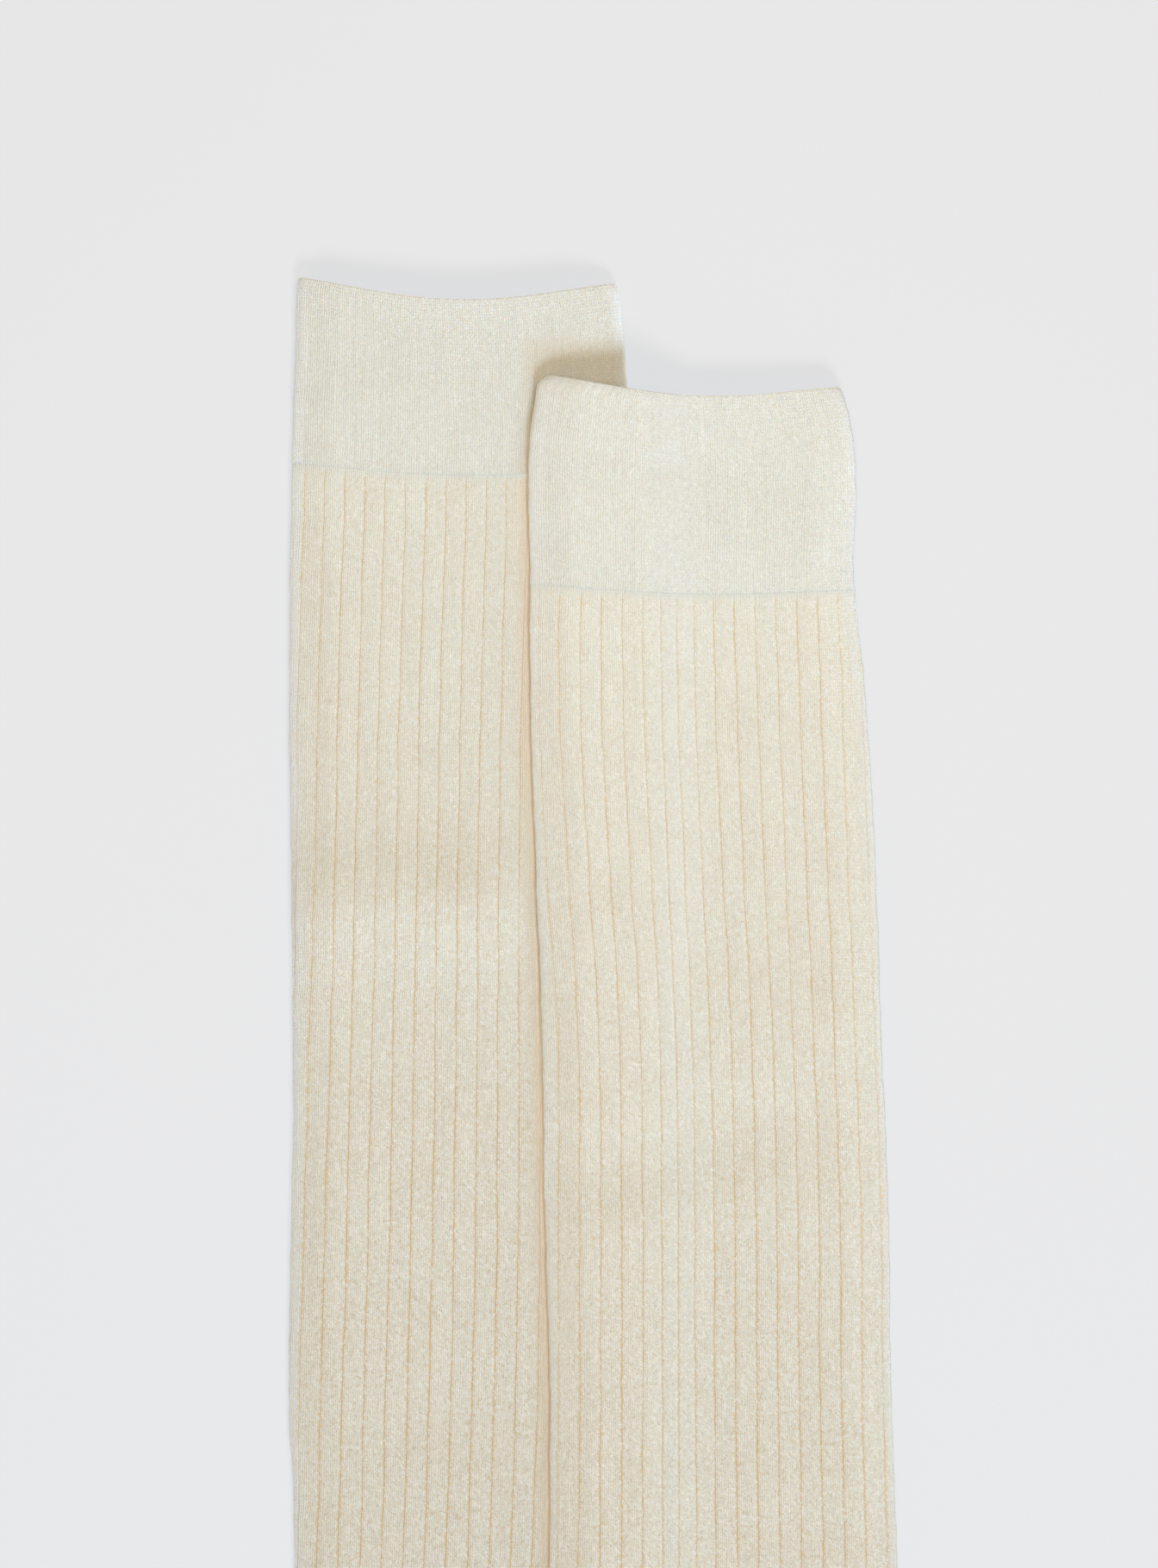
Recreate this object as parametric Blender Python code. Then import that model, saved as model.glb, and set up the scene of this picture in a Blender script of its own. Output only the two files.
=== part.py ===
"""A pair of knitted knee socks lying flat, the right sock lapped over the left one.

Each sock is one tube of knitting pressed flat, so it has an upper and a lower wall with a thin slit
between them, a rounded fold down each side, an open mouth at the cuff and a closed toe. Its form is
lofted from stations along the tube. A station holds the middle of the tube, the way the tube runs there,
and the reach from the middle to its front fold (shin and instep) and to its back fold (calf and sole).

X runs across the legs, +Y points to the cuffs and +Z is up. The floor is at zero. All sizes are in metres.
"""

import math
from typing import NamedTuple

import bmesh
import bpy
import numpy as np

# Cloth
WALL = 0.0026
SLIT = 0.0014
THICKNESS = 2 * WALL + SLIT
TOE_TIP_SLIT = 0.0008
TIP_HOLLOW = 0.0020
MOUTH_RISE = 0.0013
MOUTH_RISE_DEPTH = 0.022
SEAM_GAP = 0.0003

# Ribs: four raised wales and one sunk wale, repeated round the tube
RIBS_ROUND = 34
RIB_PITCH = 0.0056
FURROW_DEPTH = 0.0007
FURROW_SHOULDER = 0.18
SHOULDER_DEPTH = 0.15 * FURROW_DEPTH
RIBS_PAST_FOLD = 1
RELIEF_STARTS = -0.3
RELIEF_FULL = 0.5

# The cuff's fine ribs: one raised wale and one sunk wale, repeated round the tube
CUFF_RIBS_ROUND = 76
CUFF_FURROW_DEPTH = 0.00035
CUFF_RIBS_A_SPAN = 2

# Lengths along the tube
CUFF_DEPTH = 0.050
LEG_LENGTH = 0.372
TOE_LENGTH = 0.046

# Ankle turn and heel
TURN_ANGLE = math.radians(68)
TURN_RADIUS = 0.062
TURN_STEPS = 12
HEEL_BULGE = 0.021
HEEL_FIRST_RIB = 8
HEEL_LAST_RIB = 25
TOE_STEPS = 7
TOE_LAST_ANGLE = math.radians(82)

# How the upper sock comes down off the lower sock: reach outside the lower outline
LAP_GAP = 0.0003
RAMP_START = 0.0015
RAMP_END = 0.022

# Places of the pair: the datum line down the legs, and the cuff corners of each sock
DATUM_X = -0.0040
LEFT_CUFF_Y = 0.2676
RIGHT_CUFF_Y = LEFT_CUFF_Y - 0.0282


class LegRow(NamedTuple):
    """One level of a leg: depth below the cuff, side folds from the datum line, and rib twist in ribs."""

    depth: float
    left: float
    right: float
    twist: float


class FootRow(NamedTuple):
    """One level of a foot: length past the heel, and the reach to its instep and to its sole."""

    along: float
    front: float
    back: float


class Mouth(NamedTuple):
    """How far the cuff edge lies below its corner: at the front fold, in the middle, at the back fold."""

    front_drop: float
    scoop: float
    back_drop: float


class Station(NamedTuple):
    """One level of the tube: its middle, its heading from straight down, and its size."""

    x: float
    y: float
    heading: float
    front: float
    back: float
    slit: float
    twist: float


class Sock(NamedTuple):
    """One sock: which way its toe points (-1 left, 1 right), its cuff's level, its leg and its mouth."""

    name: str
    side: int
    cuff_y: float
    leg: tuple
    mouth: Mouth


LEFT_SOCK = Sock(
    "left_sock",
    -1,
    LEFT_CUFF_Y,
    (
        LegRow(0.000, -0.0768, 0.0106, 0.96),
        LegRow(0.015, -0.0773, 0.0122, 0.96),
        LegRow(0.050, -0.0783, 0.0138, 0.96),
        LegRow(0.110, -0.0790, 0.0142, 0.72),
        LegRow(0.170, -0.0784, 0.0150, 0.39),
        LegRow(0.225, -0.0780, 0.0156, 0.20),
        LegRow(0.285, -0.0788, 0.0156, 0.00),
        LegRow(0.350, -0.0784, 0.0162, -0.35),
        LegRow(LEG_LENGTH, -0.0778, 0.0152, -0.40),
    ),
    Mouth(-0.0005, 0.0052, 0.0012),
)
RIGHT_SOCK = Sock(
    "right_sock",
    1,
    RIGHT_CUFF_Y,
    (
        LegRow(0.000, -0.0110, 0.0717, 0.35),
        LegRow(0.012, -0.0127, 0.0745, 0.35),
        LegRow(0.054, -0.0127, 0.0751, 0.35),
        LegRow(0.085, -0.0124, 0.0781, 0.35),
        LegRow(0.130, -0.0115, 0.0808, 0.15),
        LegRow(0.177, -0.0096, 0.0824, -0.02),
        LegRow(0.225, -0.0087, 0.0844, 0.12),
        LegRow(0.272, -0.0080, 0.0851, 0.22),
        LegRow(0.320, -0.0080, 0.0867, 0.33),
        LegRow(LEG_LENGTH, -0.0075, 0.0862, 0.35),
    ),
    Mouth(0.0012, 0.0039, -0.0019),
)
FOOT = (
    FootRow(0.000, 0.0452, 0.0448),
    FootRow(0.032, 0.0442, 0.0438),
    FootRow(0.064, 0.0434, 0.0430),
    FootRow(0.094, 0.0428, 0.0426),
)

CREAM = (0.73, 0.70, 0.60, 1.0)
CUFF_CREAM = (0.76, 0.735, 0.655, 1.0)


def smooth_step(value, low, high):
    """0 below low, 1 above high, and a smooth S between them."""
    share = np.clip((value - low) / (high - low), 0, 1)
    return share * share * (3 - 2 * share)


def leg_stations(sock):
    """One station for each row of the leg's table."""
    stations = []
    for row in sock.leg:
        half = (row.right - row.left) / 2
        middle = DATUM_X + (row.right + row.left) / 2
        stations.append(Station(middle, sock.cuff_y - row.depth, 0.0, half, half, SLIT, row.twist))
    return stations


def turn_stations(sock, start):
    """The ankle: the tube's middle runs round an arc, and the back fold swells out for the heel."""
    end = FOOT[0]
    stations = []
    for step in range(TURN_STEPS + 1):
        share = step / TURN_STEPS
        angle = share * TURN_ANGLE
        blend = smooth_step(share, 0, 1)
        swell = HEEL_BULGE * math.sin(math.pi * share) ** 1.5
        stations.append(
            Station(
                start.x + sock.side * TURN_RADIUS * (1 - math.cos(angle)),
                start.y - TURN_RADIUS * math.sin(angle),
                angle,
                start.front + blend * (end.front - start.front),
                start.back + blend * (end.back - start.back) + swell,
                SLIT,
                start.twist,
            )
        )
    return stations


def moved(sock, station, distance):
    """The station shifted along the tube by a distance."""
    _, along = directions(sock, station)
    return station._replace(x=station.x + along[0] * distance, y=station.y + along[1] * distance)


def foot_stations(sock, start):
    """The straight foot, one station for each row of its table."""
    return [moved(sock, start, row.along)._replace(front=row.front, back=row.back) for row in FOOT]


def toe_stations(sock, start):
    """The toe: its outline is half an ellipse, stepped by equal angles, and it thins towards the tip."""
    stations = []
    for step in range(TOE_STEPS + 1):
        angle = step / TOE_STEPS * TOE_LAST_ANGLE
        along = math.sin(angle)
        reach = math.cos(angle)
        stations.append(
            moved(sock, start, TOE_LENGTH * along)._replace(
                front=start.front * reach,
                back=start.back * reach,
                slit=SLIT + (TOE_TIP_SLIT - SLIT) * along,
            )
        )
    return stations


def directions(sock, station):
    """Unit vectors in plan: across the tube from its front fold to its back fold, and along the tube."""
    turn_x = math.sin(station.heading)
    turn_y = math.cos(station.heading)
    across = np.array((-sock.side * turn_y, -turn_x))
    along = np.array((sock.side * turn_x, -turn_y))
    return across, along


def outline(sock, stations):
    """The sock's outline in plan: down the front folds, round the toe and back up the back folds."""
    front, back = [], []
    for station in stations:
        across, _ = directions(sock, station)
        middle = np.array((station.x, station.y))
        front.append(middle - across * station.front)
        back.append(middle + across * station.back)
    return np.array(front + back[::-1])


def depth_inside(points, polygon):
    """Distance of plan points from a polygon's edge, positive inside it."""
    start = polygon
    step = np.roll(polygon, -1, axis=0) - start
    offset = points[:, None, :] - start[None, :, :]
    share = np.clip((offset * step).sum(2) / (step * step).sum(1), 0, 1)
    distance = np.linalg.norm(offset - share[..., None] * step, axis=2).min(1)
    end_y = start[:, 1] + step[:, 1]
    spans = (start[:, 1] > points[:, 1:]) != (end_y > points[:, 1:])
    rise = np.where(step[:, 1] == 0, 1, step[:, 1])
    crossing_x = start[:, 0] + (points[:, 1:] - start[:, 1]) / rise * step[:, 0]
    inside = (spans & (points[:, :1] < crossing_x)).sum(1) % 2 == 1
    return np.where(inside, distance, -distance)


def resting_height(points, lower_outline):
    """How high the cloth lies at plan points: on the floor, or up over the sock below it."""
    if lower_outline is None:
        return np.zeros(len(points))
    depth = depth_inside(points, lower_outline)
    return (THICKNESS + LAP_GAP) * smooth_step(depth, -RAMP_END, -RAMP_START)


def section(station, ribs, inset, rise):
    """Points round a flattened tube, for rib numbers counted from the front fold over the top.

    The tube's outer loop is two straight walls joined by a half circle at each fold. The inner loop is the
    same, set in by the wall. The upper wall stands higher by the rise in its middle. Returns the distance
    from the front fold, the height, and how much of the outward direction points across and up.
    """
    slit_radius = station.slit / 2
    radius = slit_radius + WALL
    width = station.front + station.back
    quarter = math.pi / 2 * radius
    straight = width - 2 * radius
    place = ((ribs + station.twist) / RIBS_ROUND) % 1
    upper = np.where(place < 0.5, 1.0, -1.0)
    travel = np.minimum(place, 1 - place) * 2 * (2 * quarter + straight)
    rising = np.clip(travel / quarter, 0, 1) * math.pi / 2
    level = np.clip((travel - quarter) / straight, 0, 1)
    falling = np.clip((travel - quarter - straight) / quarter, 0, 1) * math.pi / 2
    bend = radius - inset
    across = inset + bend * (1 - np.cos(rising)) + level * straight + bend * np.sin(falling)
    lift = np.sin(rising) * np.cos(falling)
    height = radius + upper * bend * lift + (upper > 0) * rise * np.sin(math.pi * across / width)
    outward = np.sin(falling) - np.cos(rising)
    return across, height, outward, upper * lift


def ring(sock, station, ribs, sunk, inset, lower_outline):
    """World points of one section of the sock; sunk says how deep each rib number lies below the ribs."""
    across_way, along_way = directions(sock, station)
    depth = sock.cuff_y - station.y
    near_mouth = max(0.0, 1 - depth / CUFF_DEPTH)
    rise = MOUTH_RISE * max(0.0, 1 - depth / MOUTH_RISE_DEPTH) ** 1.5
    across, height, outward, upward = section(station, ribs, inset, rise)
    sunk = sunk * smooth_step(upward, RELIEF_STARTS, RELIEF_FULL)
    across = across - sunk * outward
    height = height - sunk * upward
    share = np.clip(across / (station.front + station.back), 0, 1)
    drop = sock.mouth.front_drop * (1 - share) + sock.mouth.back_drop * share
    drop = drop + sock.mouth.scoop * np.sin(math.pi * share) ** 1.2
    slide = drop * near_mouth
    front = np.array((station.x, station.y)) - across_way * station.front
    plan = front + across[:, None] * across_way + slide[:, None] * along_way
    return np.column_stack((plan, height + resting_height(plan, lower_outline)))


def on_top(rib):
    """Whether a rib number lies on the upper wall or just round its folds."""
    number = (rib + RIBS_PAST_FOLD) % RIBS_ROUND
    return number <= RIBS_ROUND / 2 + 2 * RIBS_PAST_FOLD


def leg_pattern():
    """Places across one leg rib, as shares of it, with how deep the cloth is sunk at each."""
    return (0.0, FURROW_DEPTH), (FURROW_SHOULDER, SHOULDER_DEPTH), (1 - FURROW_SHOULDER, SHOULDER_DEPTH)


def cuff_pattern():
    """The same across one span of the cuff, which holds a few fine ribs."""
    steps = 2 * CUFF_RIBS_A_SPAN
    return tuple((step / steps, CUFF_FURROW_DEPTH if step % 2 == 0 else 0.0) for step in range(steps))


PLAIN = ((0.0, 0.0),)


def columns(ribs, pattern, is_ribbed, closed):
    """Outer rib numbers, how deep each is sunk, and the outer column that goes with each inner one.

    A ribbed span on the upper wall gets the pattern's columns, and any other span gets one plain column.
    """
    following = ribs[1:] + [ribs[0] + RIBS_ROUND] if closed else ribs[1:]
    numbers, sunk, match = [], [], []
    for rib, after in zip(ribs, following):
        match.append(len(numbers))
        is_shaped = is_ribbed(rib) and is_ribbed(after) and on_top((rib + after) / 2)
        for share, depth in pattern if is_shaped else PLAIN:
            numbers.append(rib + share * (after - rib))
            sunk.append(depth)
    if not closed:
        match.append(len(numbers))
        numbers.append(ribs[-1])
        sunk.append(0.0)
    return np.array(numbers), np.array(sunk), match


def shell(outer, inner, match, is_cloth, closed, has_tip):
    """A closed body between an outer and an inner grid of points, where is_cloth(ring, span) is true."""
    mesh = bmesh.new()
    outside = [[mesh.verts.new(point) for point in row] for row in outer]
    inside = [[mesh.verts.new(point) for point in row] for row in inner]
    around = len(outside[0])
    inner_around = len(inside[0])
    spans = inner_around if closed else inner_around - 1
    last = len(outside) - 2

    def run(span):
        start = match[span]
        end = match[span + 1] if span + 1 < len(match) else around
        return [column % around for column in range(start, end + 1)]

    for level in range(last + 1):
        for span in range(spans):
            if not is_cloth(level, span):
                continue
            here, after = span, (span + 1) % inner_around
            below = level + 1
            strip = run(span)
            for a, b in zip(strip, strip[1:]):
                mesh.faces.new((outside[level][a], outside[level][b], outside[below][b], outside[below][a]))
            mesh.faces.new((inside[level][after], inside[level][here], inside[below][here], inside[below][after]))
            if level == 0 or not is_cloth(level - 1, span):
                edge = [outside[level][a] for a in strip]
                mesh.faces.new(edge + [inside[level][after], inside[level][here]])
            if not has_tip and level == last or level < last and not is_cloth(below, span):
                edge = [outside[below][a] for a in strip]
                mesh.faces.new(edge + [inside[below][after], inside[below][here]])
            starts = not is_cloth(level, (span - 1) % spans) if closed else span == 0
            ends = not is_cloth(level, (span + 1) % spans) if closed else span == spans - 1
            if starts:
                a = strip[0]
                mesh.faces.new((outside[level][a], outside[below][a], inside[below][here], inside[level][here]))
            if ends:
                a = strip[-1]
                mesh.faces.new((outside[level][a], outside[below][a], inside[below][after], inside[level][after]))
    if has_tip:
        mesh.faces.new(outside[-1])
        mesh.faces.new(reversed(inside[-1]))
    bmesh.ops.delete(mesh, geom=[vert for vert in mesh.verts if not vert.link_faces], context="VERTS")
    bmesh.ops.recalc_face_normals(mesh, faces=mesh.faces)
    return mesh


def add_piece(name, mesh, colour, collection):
    """Makes the object of one knitted piece, with its own material."""
    data = bpy.data.meshes.new(name)
    mesh.to_mesh(data)
    mesh.free()
    data.shade_smooth()
    data.set_sharp_from_angle(angle=math.radians(50))
    material = bpy.data.materials.new(name)
    material.use_nodes = True
    shader = material.node_tree.nodes["Principled BSDF"]
    shader.inputs["Base Color"].default_value = colour
    shader.inputs["Roughness"].default_value = 0.95
    shader.inputs["Metallic"].default_value = 0.0
    data.materials.append(material)
    piece = bpy.data.objects.new(name, data)
    collection.objects.link(piece)
    return piece


def everywhere(*_):
    """The rule for a piece that has its pattern, or its cloth, all over."""
    return True


def knit_piece(
    sock, stations, ribs, lower_outline, pattern=PLAIN, is_ribbed=everywhere, is_cloth=everywhere,
    closed=True, has_tip=False,
):
    """The closed body of one piece of a sock, from its stations and the rib numbers of its inner columns."""
    numbers, sunk, match = columns(ribs, pattern, is_ribbed, closed)
    inner_numbers = np.array(ribs, float)
    none_sunk = np.zeros(len(ribs))
    outer = [ring(sock, station, numbers, sunk, 0.0, lower_outline) for station in stations]
    inner_stations = list(stations)
    if has_tip:
        tip_reach = WALL + TIP_HOLLOW
        tip = moved(sock, stations[-1], -WALL / 2)
        inner_stations[-1] = tip._replace(front=tip_reach, back=tip_reach)
    inner = [
        ring(sock, station, inner_numbers, none_sunk, WALL, lower_outline) for station in inner_stations
    ]
    return shell(outer, inner, match, is_cloth, closed, has_tip)


def build_sock(sock, lower_outline, collection):
    """Builds the five pieces of one sock and returns its outline."""
    leg = leg_stations(sock)
    turn = turn_stations(sock, leg[-1])
    foot = foot_stations(sock, turn[-1])
    toe = toe_stations(sock, foot[-1])
    cuff_end = next(i for i, row in enumerate(sock.leg) if row.depth >= CUFF_DEPTH)
    half_gap = SEAM_GAP / 2

    def trimmed(stations, at_start, at_end):
        """The stations with these lengths taken off the two ends, to leave the gap at a seam."""
        result = list(stations)
        result[0] = moved(sock, result[0], at_start)
        result[-1] = moved(sock, result[-1], -at_end)
        return result

    all_round = [float(rib) for rib in range(RIBS_ROUND)]
    cuff_spans = CUFF_RIBS_ROUND // CUFF_RIBS_A_SPAN
    cuff_round = [span * RIBS_ROUND / cuff_spans for span in range(cuff_spans)]
    side_gap = half_gap / RIB_PITCH
    heel_start = HEEL_FIRST_RIB + side_gap
    heel_end = HEEL_LAST_RIB - side_gap
    heel_ribs = [heel_start] + [float(rib) for rib in range(HEEL_FIRST_RIB + 1, HEEL_LAST_RIB)] + [heel_end]
    front_start = HEEL_LAST_RIB + side_gap
    front_end = HEEL_FIRST_RIB + RIBS_ROUND - side_gap
    front_ribs = [float(rib) for rib in range(HEEL_LAST_RIB + 1, HEEL_FIRST_RIB + RIBS_ROUND)]
    sole_ribs = [float(rib + RIBS_ROUND) for rib in range(HEEL_FIRST_RIB + 1, HEEL_LAST_RIB)]
    foot_ribs = [front_start] + front_ribs + [front_end] + sole_ribs
    front_spans = len(front_ribs) + 1

    pieces = {
        "cuff": (
            knit_piece(
                sock,
                trimmed(leg[: cuff_end + 1], 0.0, half_gap),
                cuff_round,
                lower_outline,
                pattern=cuff_pattern(),
            ),
            CUFF_CREAM,
        ),
        "leg": (
            knit_piece(
                sock,
                trimmed(leg[cuff_end:], half_gap, half_gap),
                all_round,
                lower_outline,
                pattern=leg_pattern(),
            ),
            CREAM,
        ),
        "heel": (
            knit_piece(sock, trimmed(turn, half_gap, SEAM_GAP), heel_ribs, lower_outline, closed=False),
            CREAM,
        ),
        "foot": (
            knit_piece(
                sock,
                trimmed(turn + foot[1:], half_gap, half_gap),
                foot_ribs,
                lower_outline,
                pattern=leg_pattern(),
                is_ribbed=lambda rib: front_start <= rib <= front_end,
                is_cloth=lambda level, span: level >= TURN_STEPS or span < front_spans,
            ),
            CREAM,
        ),
        "toe": (
            knit_piece(sock, trimmed(toe, half_gap, 0.0), all_round, lower_outline, has_tip=True),
            CREAM,
        ),
    }
    for part, (mesh, colour) in pieces.items():
        add_piece(f"{sock.name}_{part}", mesh, colour, collection)
    return outline(sock, leg + turn[1:] + foot[1:] + toe[1:])


def main():
    """Clears the scene and builds both socks."""
    for old in list(bpy.data.objects):
        bpy.data.objects.remove(old, do_unlink=True)
    collection = bpy.data.collections.new("knee_socks")
    bpy.context.scene.collection.children.link(collection)
    lower_outline = build_sock(LEFT_SOCK, None, collection)
    build_sock(RIGHT_SOCK, lower_outline, collection)


main()
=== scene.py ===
"""Looks of a pair of ribbed knee socks lying flat, the right sock lapped over the left one.

Each sock is one knitted tube pressed flat. Every point of its wall is worked out from two numbers: how far
it lies along the tube from the cuff's edge, and its rib number, counted round the tube from the front fold
(shin and instep) over the top to the back fold (calf and sole) and back below. Five pieces, which are the
cuff, leg, heel, foot and toe, are grids of such points with an outer and an inner skin, and short loose
fibres stand on them as nap.

X runs across the legs, +Y points to the cuffs and +Z is up. The floor is at zero. Sizes are in metres.
"""

import logging
import math
from dataclasses import dataclass, replace
from enum import Enum
from typing import NamedTuple, Sequence, Union

import bpy
import numpy as np
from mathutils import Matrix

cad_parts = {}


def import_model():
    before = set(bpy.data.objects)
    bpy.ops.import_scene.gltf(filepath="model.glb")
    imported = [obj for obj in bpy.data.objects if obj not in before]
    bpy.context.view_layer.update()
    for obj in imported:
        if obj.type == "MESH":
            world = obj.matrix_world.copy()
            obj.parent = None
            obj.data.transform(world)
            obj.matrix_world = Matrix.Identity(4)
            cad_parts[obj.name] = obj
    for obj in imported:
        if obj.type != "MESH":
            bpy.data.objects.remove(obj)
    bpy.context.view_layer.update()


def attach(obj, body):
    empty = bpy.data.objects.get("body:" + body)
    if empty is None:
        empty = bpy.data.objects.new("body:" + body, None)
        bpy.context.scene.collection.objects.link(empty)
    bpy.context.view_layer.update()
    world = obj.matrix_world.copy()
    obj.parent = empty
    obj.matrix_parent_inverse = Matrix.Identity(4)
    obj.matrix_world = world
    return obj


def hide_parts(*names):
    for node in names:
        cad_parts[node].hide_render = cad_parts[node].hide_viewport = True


Array = np.ndarray
Socket = bpy.types.NodeSocket
Feed = Union[Socket, float, Sequence[float]]
Colour = tuple[float, float, float]
Span = tuple[float, float]

log = logging.getLogger("knee_socks")

KNIT_MAP = "knit"
RIB_SHARE = "rib_share"
# Mask of pale fibres with a painted sheen that lightens the folds.
FOLD_FUZZ_SHEEN = "fold_fuzz_sheen"
# Mask of a painted glow along the fold rims, which lightens their shaded edges.
FOLD_RIM_GLOW = "fold_rim_glow"
LAP_SHADE = "lap_shade"
TINY = 1e-12
WAVE_SHIFT = 0.618
SEED_SHIFT = 0.37


# Numbers and curves


def smooth_step(value: Array, low: float, high: float) -> Array:
    """A smooth S from 0 to 1.

    Args:
        value: The numbers to ease.
        low: Where the S leaves 0.
        high: Where it reaches 1.

    Returns:
        3 t^2 - 2 t^3, where t is the share of the way from low to high, kept between 0 and 1.
    """
    share = np.clip((value - low) / (high - low), 0, 1)
    return share * share * (3 - 2 * share)


def bell(value: Array, width: float) -> Array:
    """A bell curve, exp(-(value / width)^2)."""
    return np.exp(-((value / width) ** 2))


def smooth_through(places: Array, known: Array, values: Array) -> Array:
    """A smooth curve through known values.

    Args:
        places: Where the curve is read.
        known: The places of the known values, rising.
        values: The known values.

    Returns:
        A cubic between each two known values, whose slope at each is that of its neighbours. Past either
        end the last value holds.
    """
    slopes = np.gradient(values, known)
    index = np.clip(np.searchsorted(known, places, side="right") - 1, 0, len(known) - 2)
    span = known[index + 1] - known[index]
    t = np.clip((places - known[index]) / span, 0, 1)
    from_here = (1 + 2 * t) * (1 - t) ** 2 * values[index] + t * (1 - t) ** 2 * span * slopes[index]
    from_next = t * t * (3 - 2 * t) * values[index + 1] - t * t * (1 - t) * span * slopes[index + 1]
    return from_here + from_next


def drift(places: Array, wavelengths: Sequence[float], seed: Union[float, Array]) -> Array:
    """Slow uneven drift, between about -1 and 1.

    Args:
        places: Where the drift is read.
        wavelengths: The lengths of the waves that it is made of.
        seed: A number that shifts each wave by another share of its length.

    Returns:
        The mean of one sine for each wavelength.
    """
    waves = [
        np.sin(2 * math.pi * (places / length + WAVE_SHIFT * (number + 1) * (seed + SEED_SHIFT)))
        for number, length in enumerate(wavelengths)
    ]
    return sum(waves) / len(waves)


# Sizes of the cloth and of the two socks


@dataclass(frozen=True)
class Cloth:
    """Sizes of the knitting that both socks share, in metres, or in ribs round the tube."""

    corner_length: float = 0.0034
    wall: float = 0.0020
    half_thickness: float = 0.0033
    tip_half_thickness: float = 0.0030
    toe_thins_at: float = 0.26
    tip_roundness: float = 1e-5
    fold_starts: float = 0.004
    fold_settles: float = 0.045
    fold_reach: float = 0.013
    fold_wobble: float = 0.00022
    rim_radius: float = 0.0003
    ribs_round: int = 35
    wales_a_rib: int = 5
    course: float = 0.00085
    furrow_depth: float = 0.00026
    furrow_width: float = 0.060
    furrow_unevenness: float = 0.16
    crown: float = 0.00006
    fine_ribs_round: int = 76
    fine_rib_depth: float = 0.00011
    fine_rib_strength: float = 0.75
    fine_rib_unevenness: float = 0.35
    rib_wander: float = 0.030
    rib_begins: float = 0.001
    rib_fades: float = 0.003
    mouth_reach: float = 0.110
    leg_length: float = 0.372
    toe_length: float = 0.046
    turn_angle: float = math.radians(68)
    turn_radius: float = 0.062
    heel_bulge: float = 0.021
    heel_power: float = 1.5
    heel_first_rib: int = 9
    heel_last_rib: int = 26
    heel_edge: float = 0.15
    toe_seam_height: float = 0.00045
    toe_seam_width: float = 0.0009
    gore_height: float = 0.0004
    heel_gore_width: float = 0.0010
    heel_gore_ends: Span = (4.5, 6.0)
    toe_gore_width: float = 0.16
    toe_gore_ends: Span = (0.024, 0.032)
    swell_along: float = 0.00009
    swell_across: float = 0.00007
    swell_slant_along: float = 0.15
    swell_slant_across: float = -0.2
    crease_ends: Span = (0.45, 1.25)
    crease_lift: Span = (0.1, 1.0)
    pressed_from: Span = (-0.0230, -0.0150)
    mouth_rise: float = 0.0013
    mouth_rise_depth: float = 0.022
    mouth_rise_power: float = 1.5
    scoop_power: float = 1.2
    lap_gap: float = 0.0003
    lap_bunching: float = 2.6
    ramp_start: float = 0.0015
    ramp_end: float = 0.022
    datum_x: float = -0.0040
    cuff_y: float = 0.2676
    lap_step: float = 0.0282

    @property
    def turn_length(self) -> float:
        """Length of the ankle's arc along the tube's middle."""
        return self.turn_radius * self.turn_angle

    @property
    def foot_start(self) -> float:
        """Distance along the tube to where the heel ends."""
        return self.leg_length + self.turn_length

    @property
    def toe_start(self) -> float:
        """Distance along the tube to the toe seam."""
        return self.foot_start + FOOT[-1].along

    @property
    def tube_length(self) -> float:
        """Distance along the tube to the tip of the toe."""
        return self.toe_start + self.toe_length


class LegRow(NamedTuple):
    """One level of a leg: depth below the cuff, side folds from the datum line, and rib shifts in ribs."""

    depth: float
    left: float
    right: float
    shift_at_front: float
    shift_at_back: float


class FootRow(NamedTuple):
    """One level of a foot: length past the heel, and the reach to its instep and to its sole."""

    along: float
    front: float
    back: float


class FoldShare(NamedTuple):
    """A fold's thickness, as a share of the leg's: at the cuff's edge, and further down."""

    at_mouth: float
    below: float


class Mouth(NamedTuple):
    """How far the cuff's edge lies below its corner: at the front fold, in the middle, at the back fold."""

    front_drop: float
    scoop: float
    back_drop: float


class Crease(NamedTuple):
    """A soft ridge, or a trough where its height is negative, in the upper wall."""

    x: float
    y: float
    turn: float
    half_length: float
    half_width: float
    height: float


class Station(NamedTuple):
    """The tube at some places along it: middle, heading from straight down, and size."""

    x: Array
    y: Array
    heading: Array
    front: Array
    back: Array
    radius: Array
    shift: Array
    spread: Array


FOOT = (
    FootRow(0.000, 0.0452, 0.0448),
    FootRow(0.032, 0.0442, 0.0438),
    FootRow(0.064, 0.0434, 0.0430),
    FootRow(0.094, 0.0428, 0.0426),
)
CLOTH = Cloth()


@dataclass(frozen=True)
class Waves:
    """Wavelengths of the slow drifts, and how their seeds differ from the sock's or from rib to rib."""

    front_fold: tuple[float, ...] = (0.0117, 0.0071, 0.0236, 0.041)
    back_fold: tuple[float, ...] = (0.0103, 0.0064, 0.0251, 0.037)
    back_fold_seed: float = 0.4
    ribs: tuple[float, ...] = (0.083, 0.037, 0.151)
    ribs_step: float = 0.29
    furrow: tuple[float, ...] = (0.017, 0.029, 0.047)
    furrow_step: float = 0.31
    fine_rib: tuple[float, ...] = (0.009, 0.021, 0.034)
    fine_rib_step: float = 0.23
    swell_along: tuple[float, ...] = (0.031, 0.019, 0.053)
    swell_across: tuple[float, ...] = (0.043, 0.027)
    swell_across_seed: float = 0.2


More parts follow.
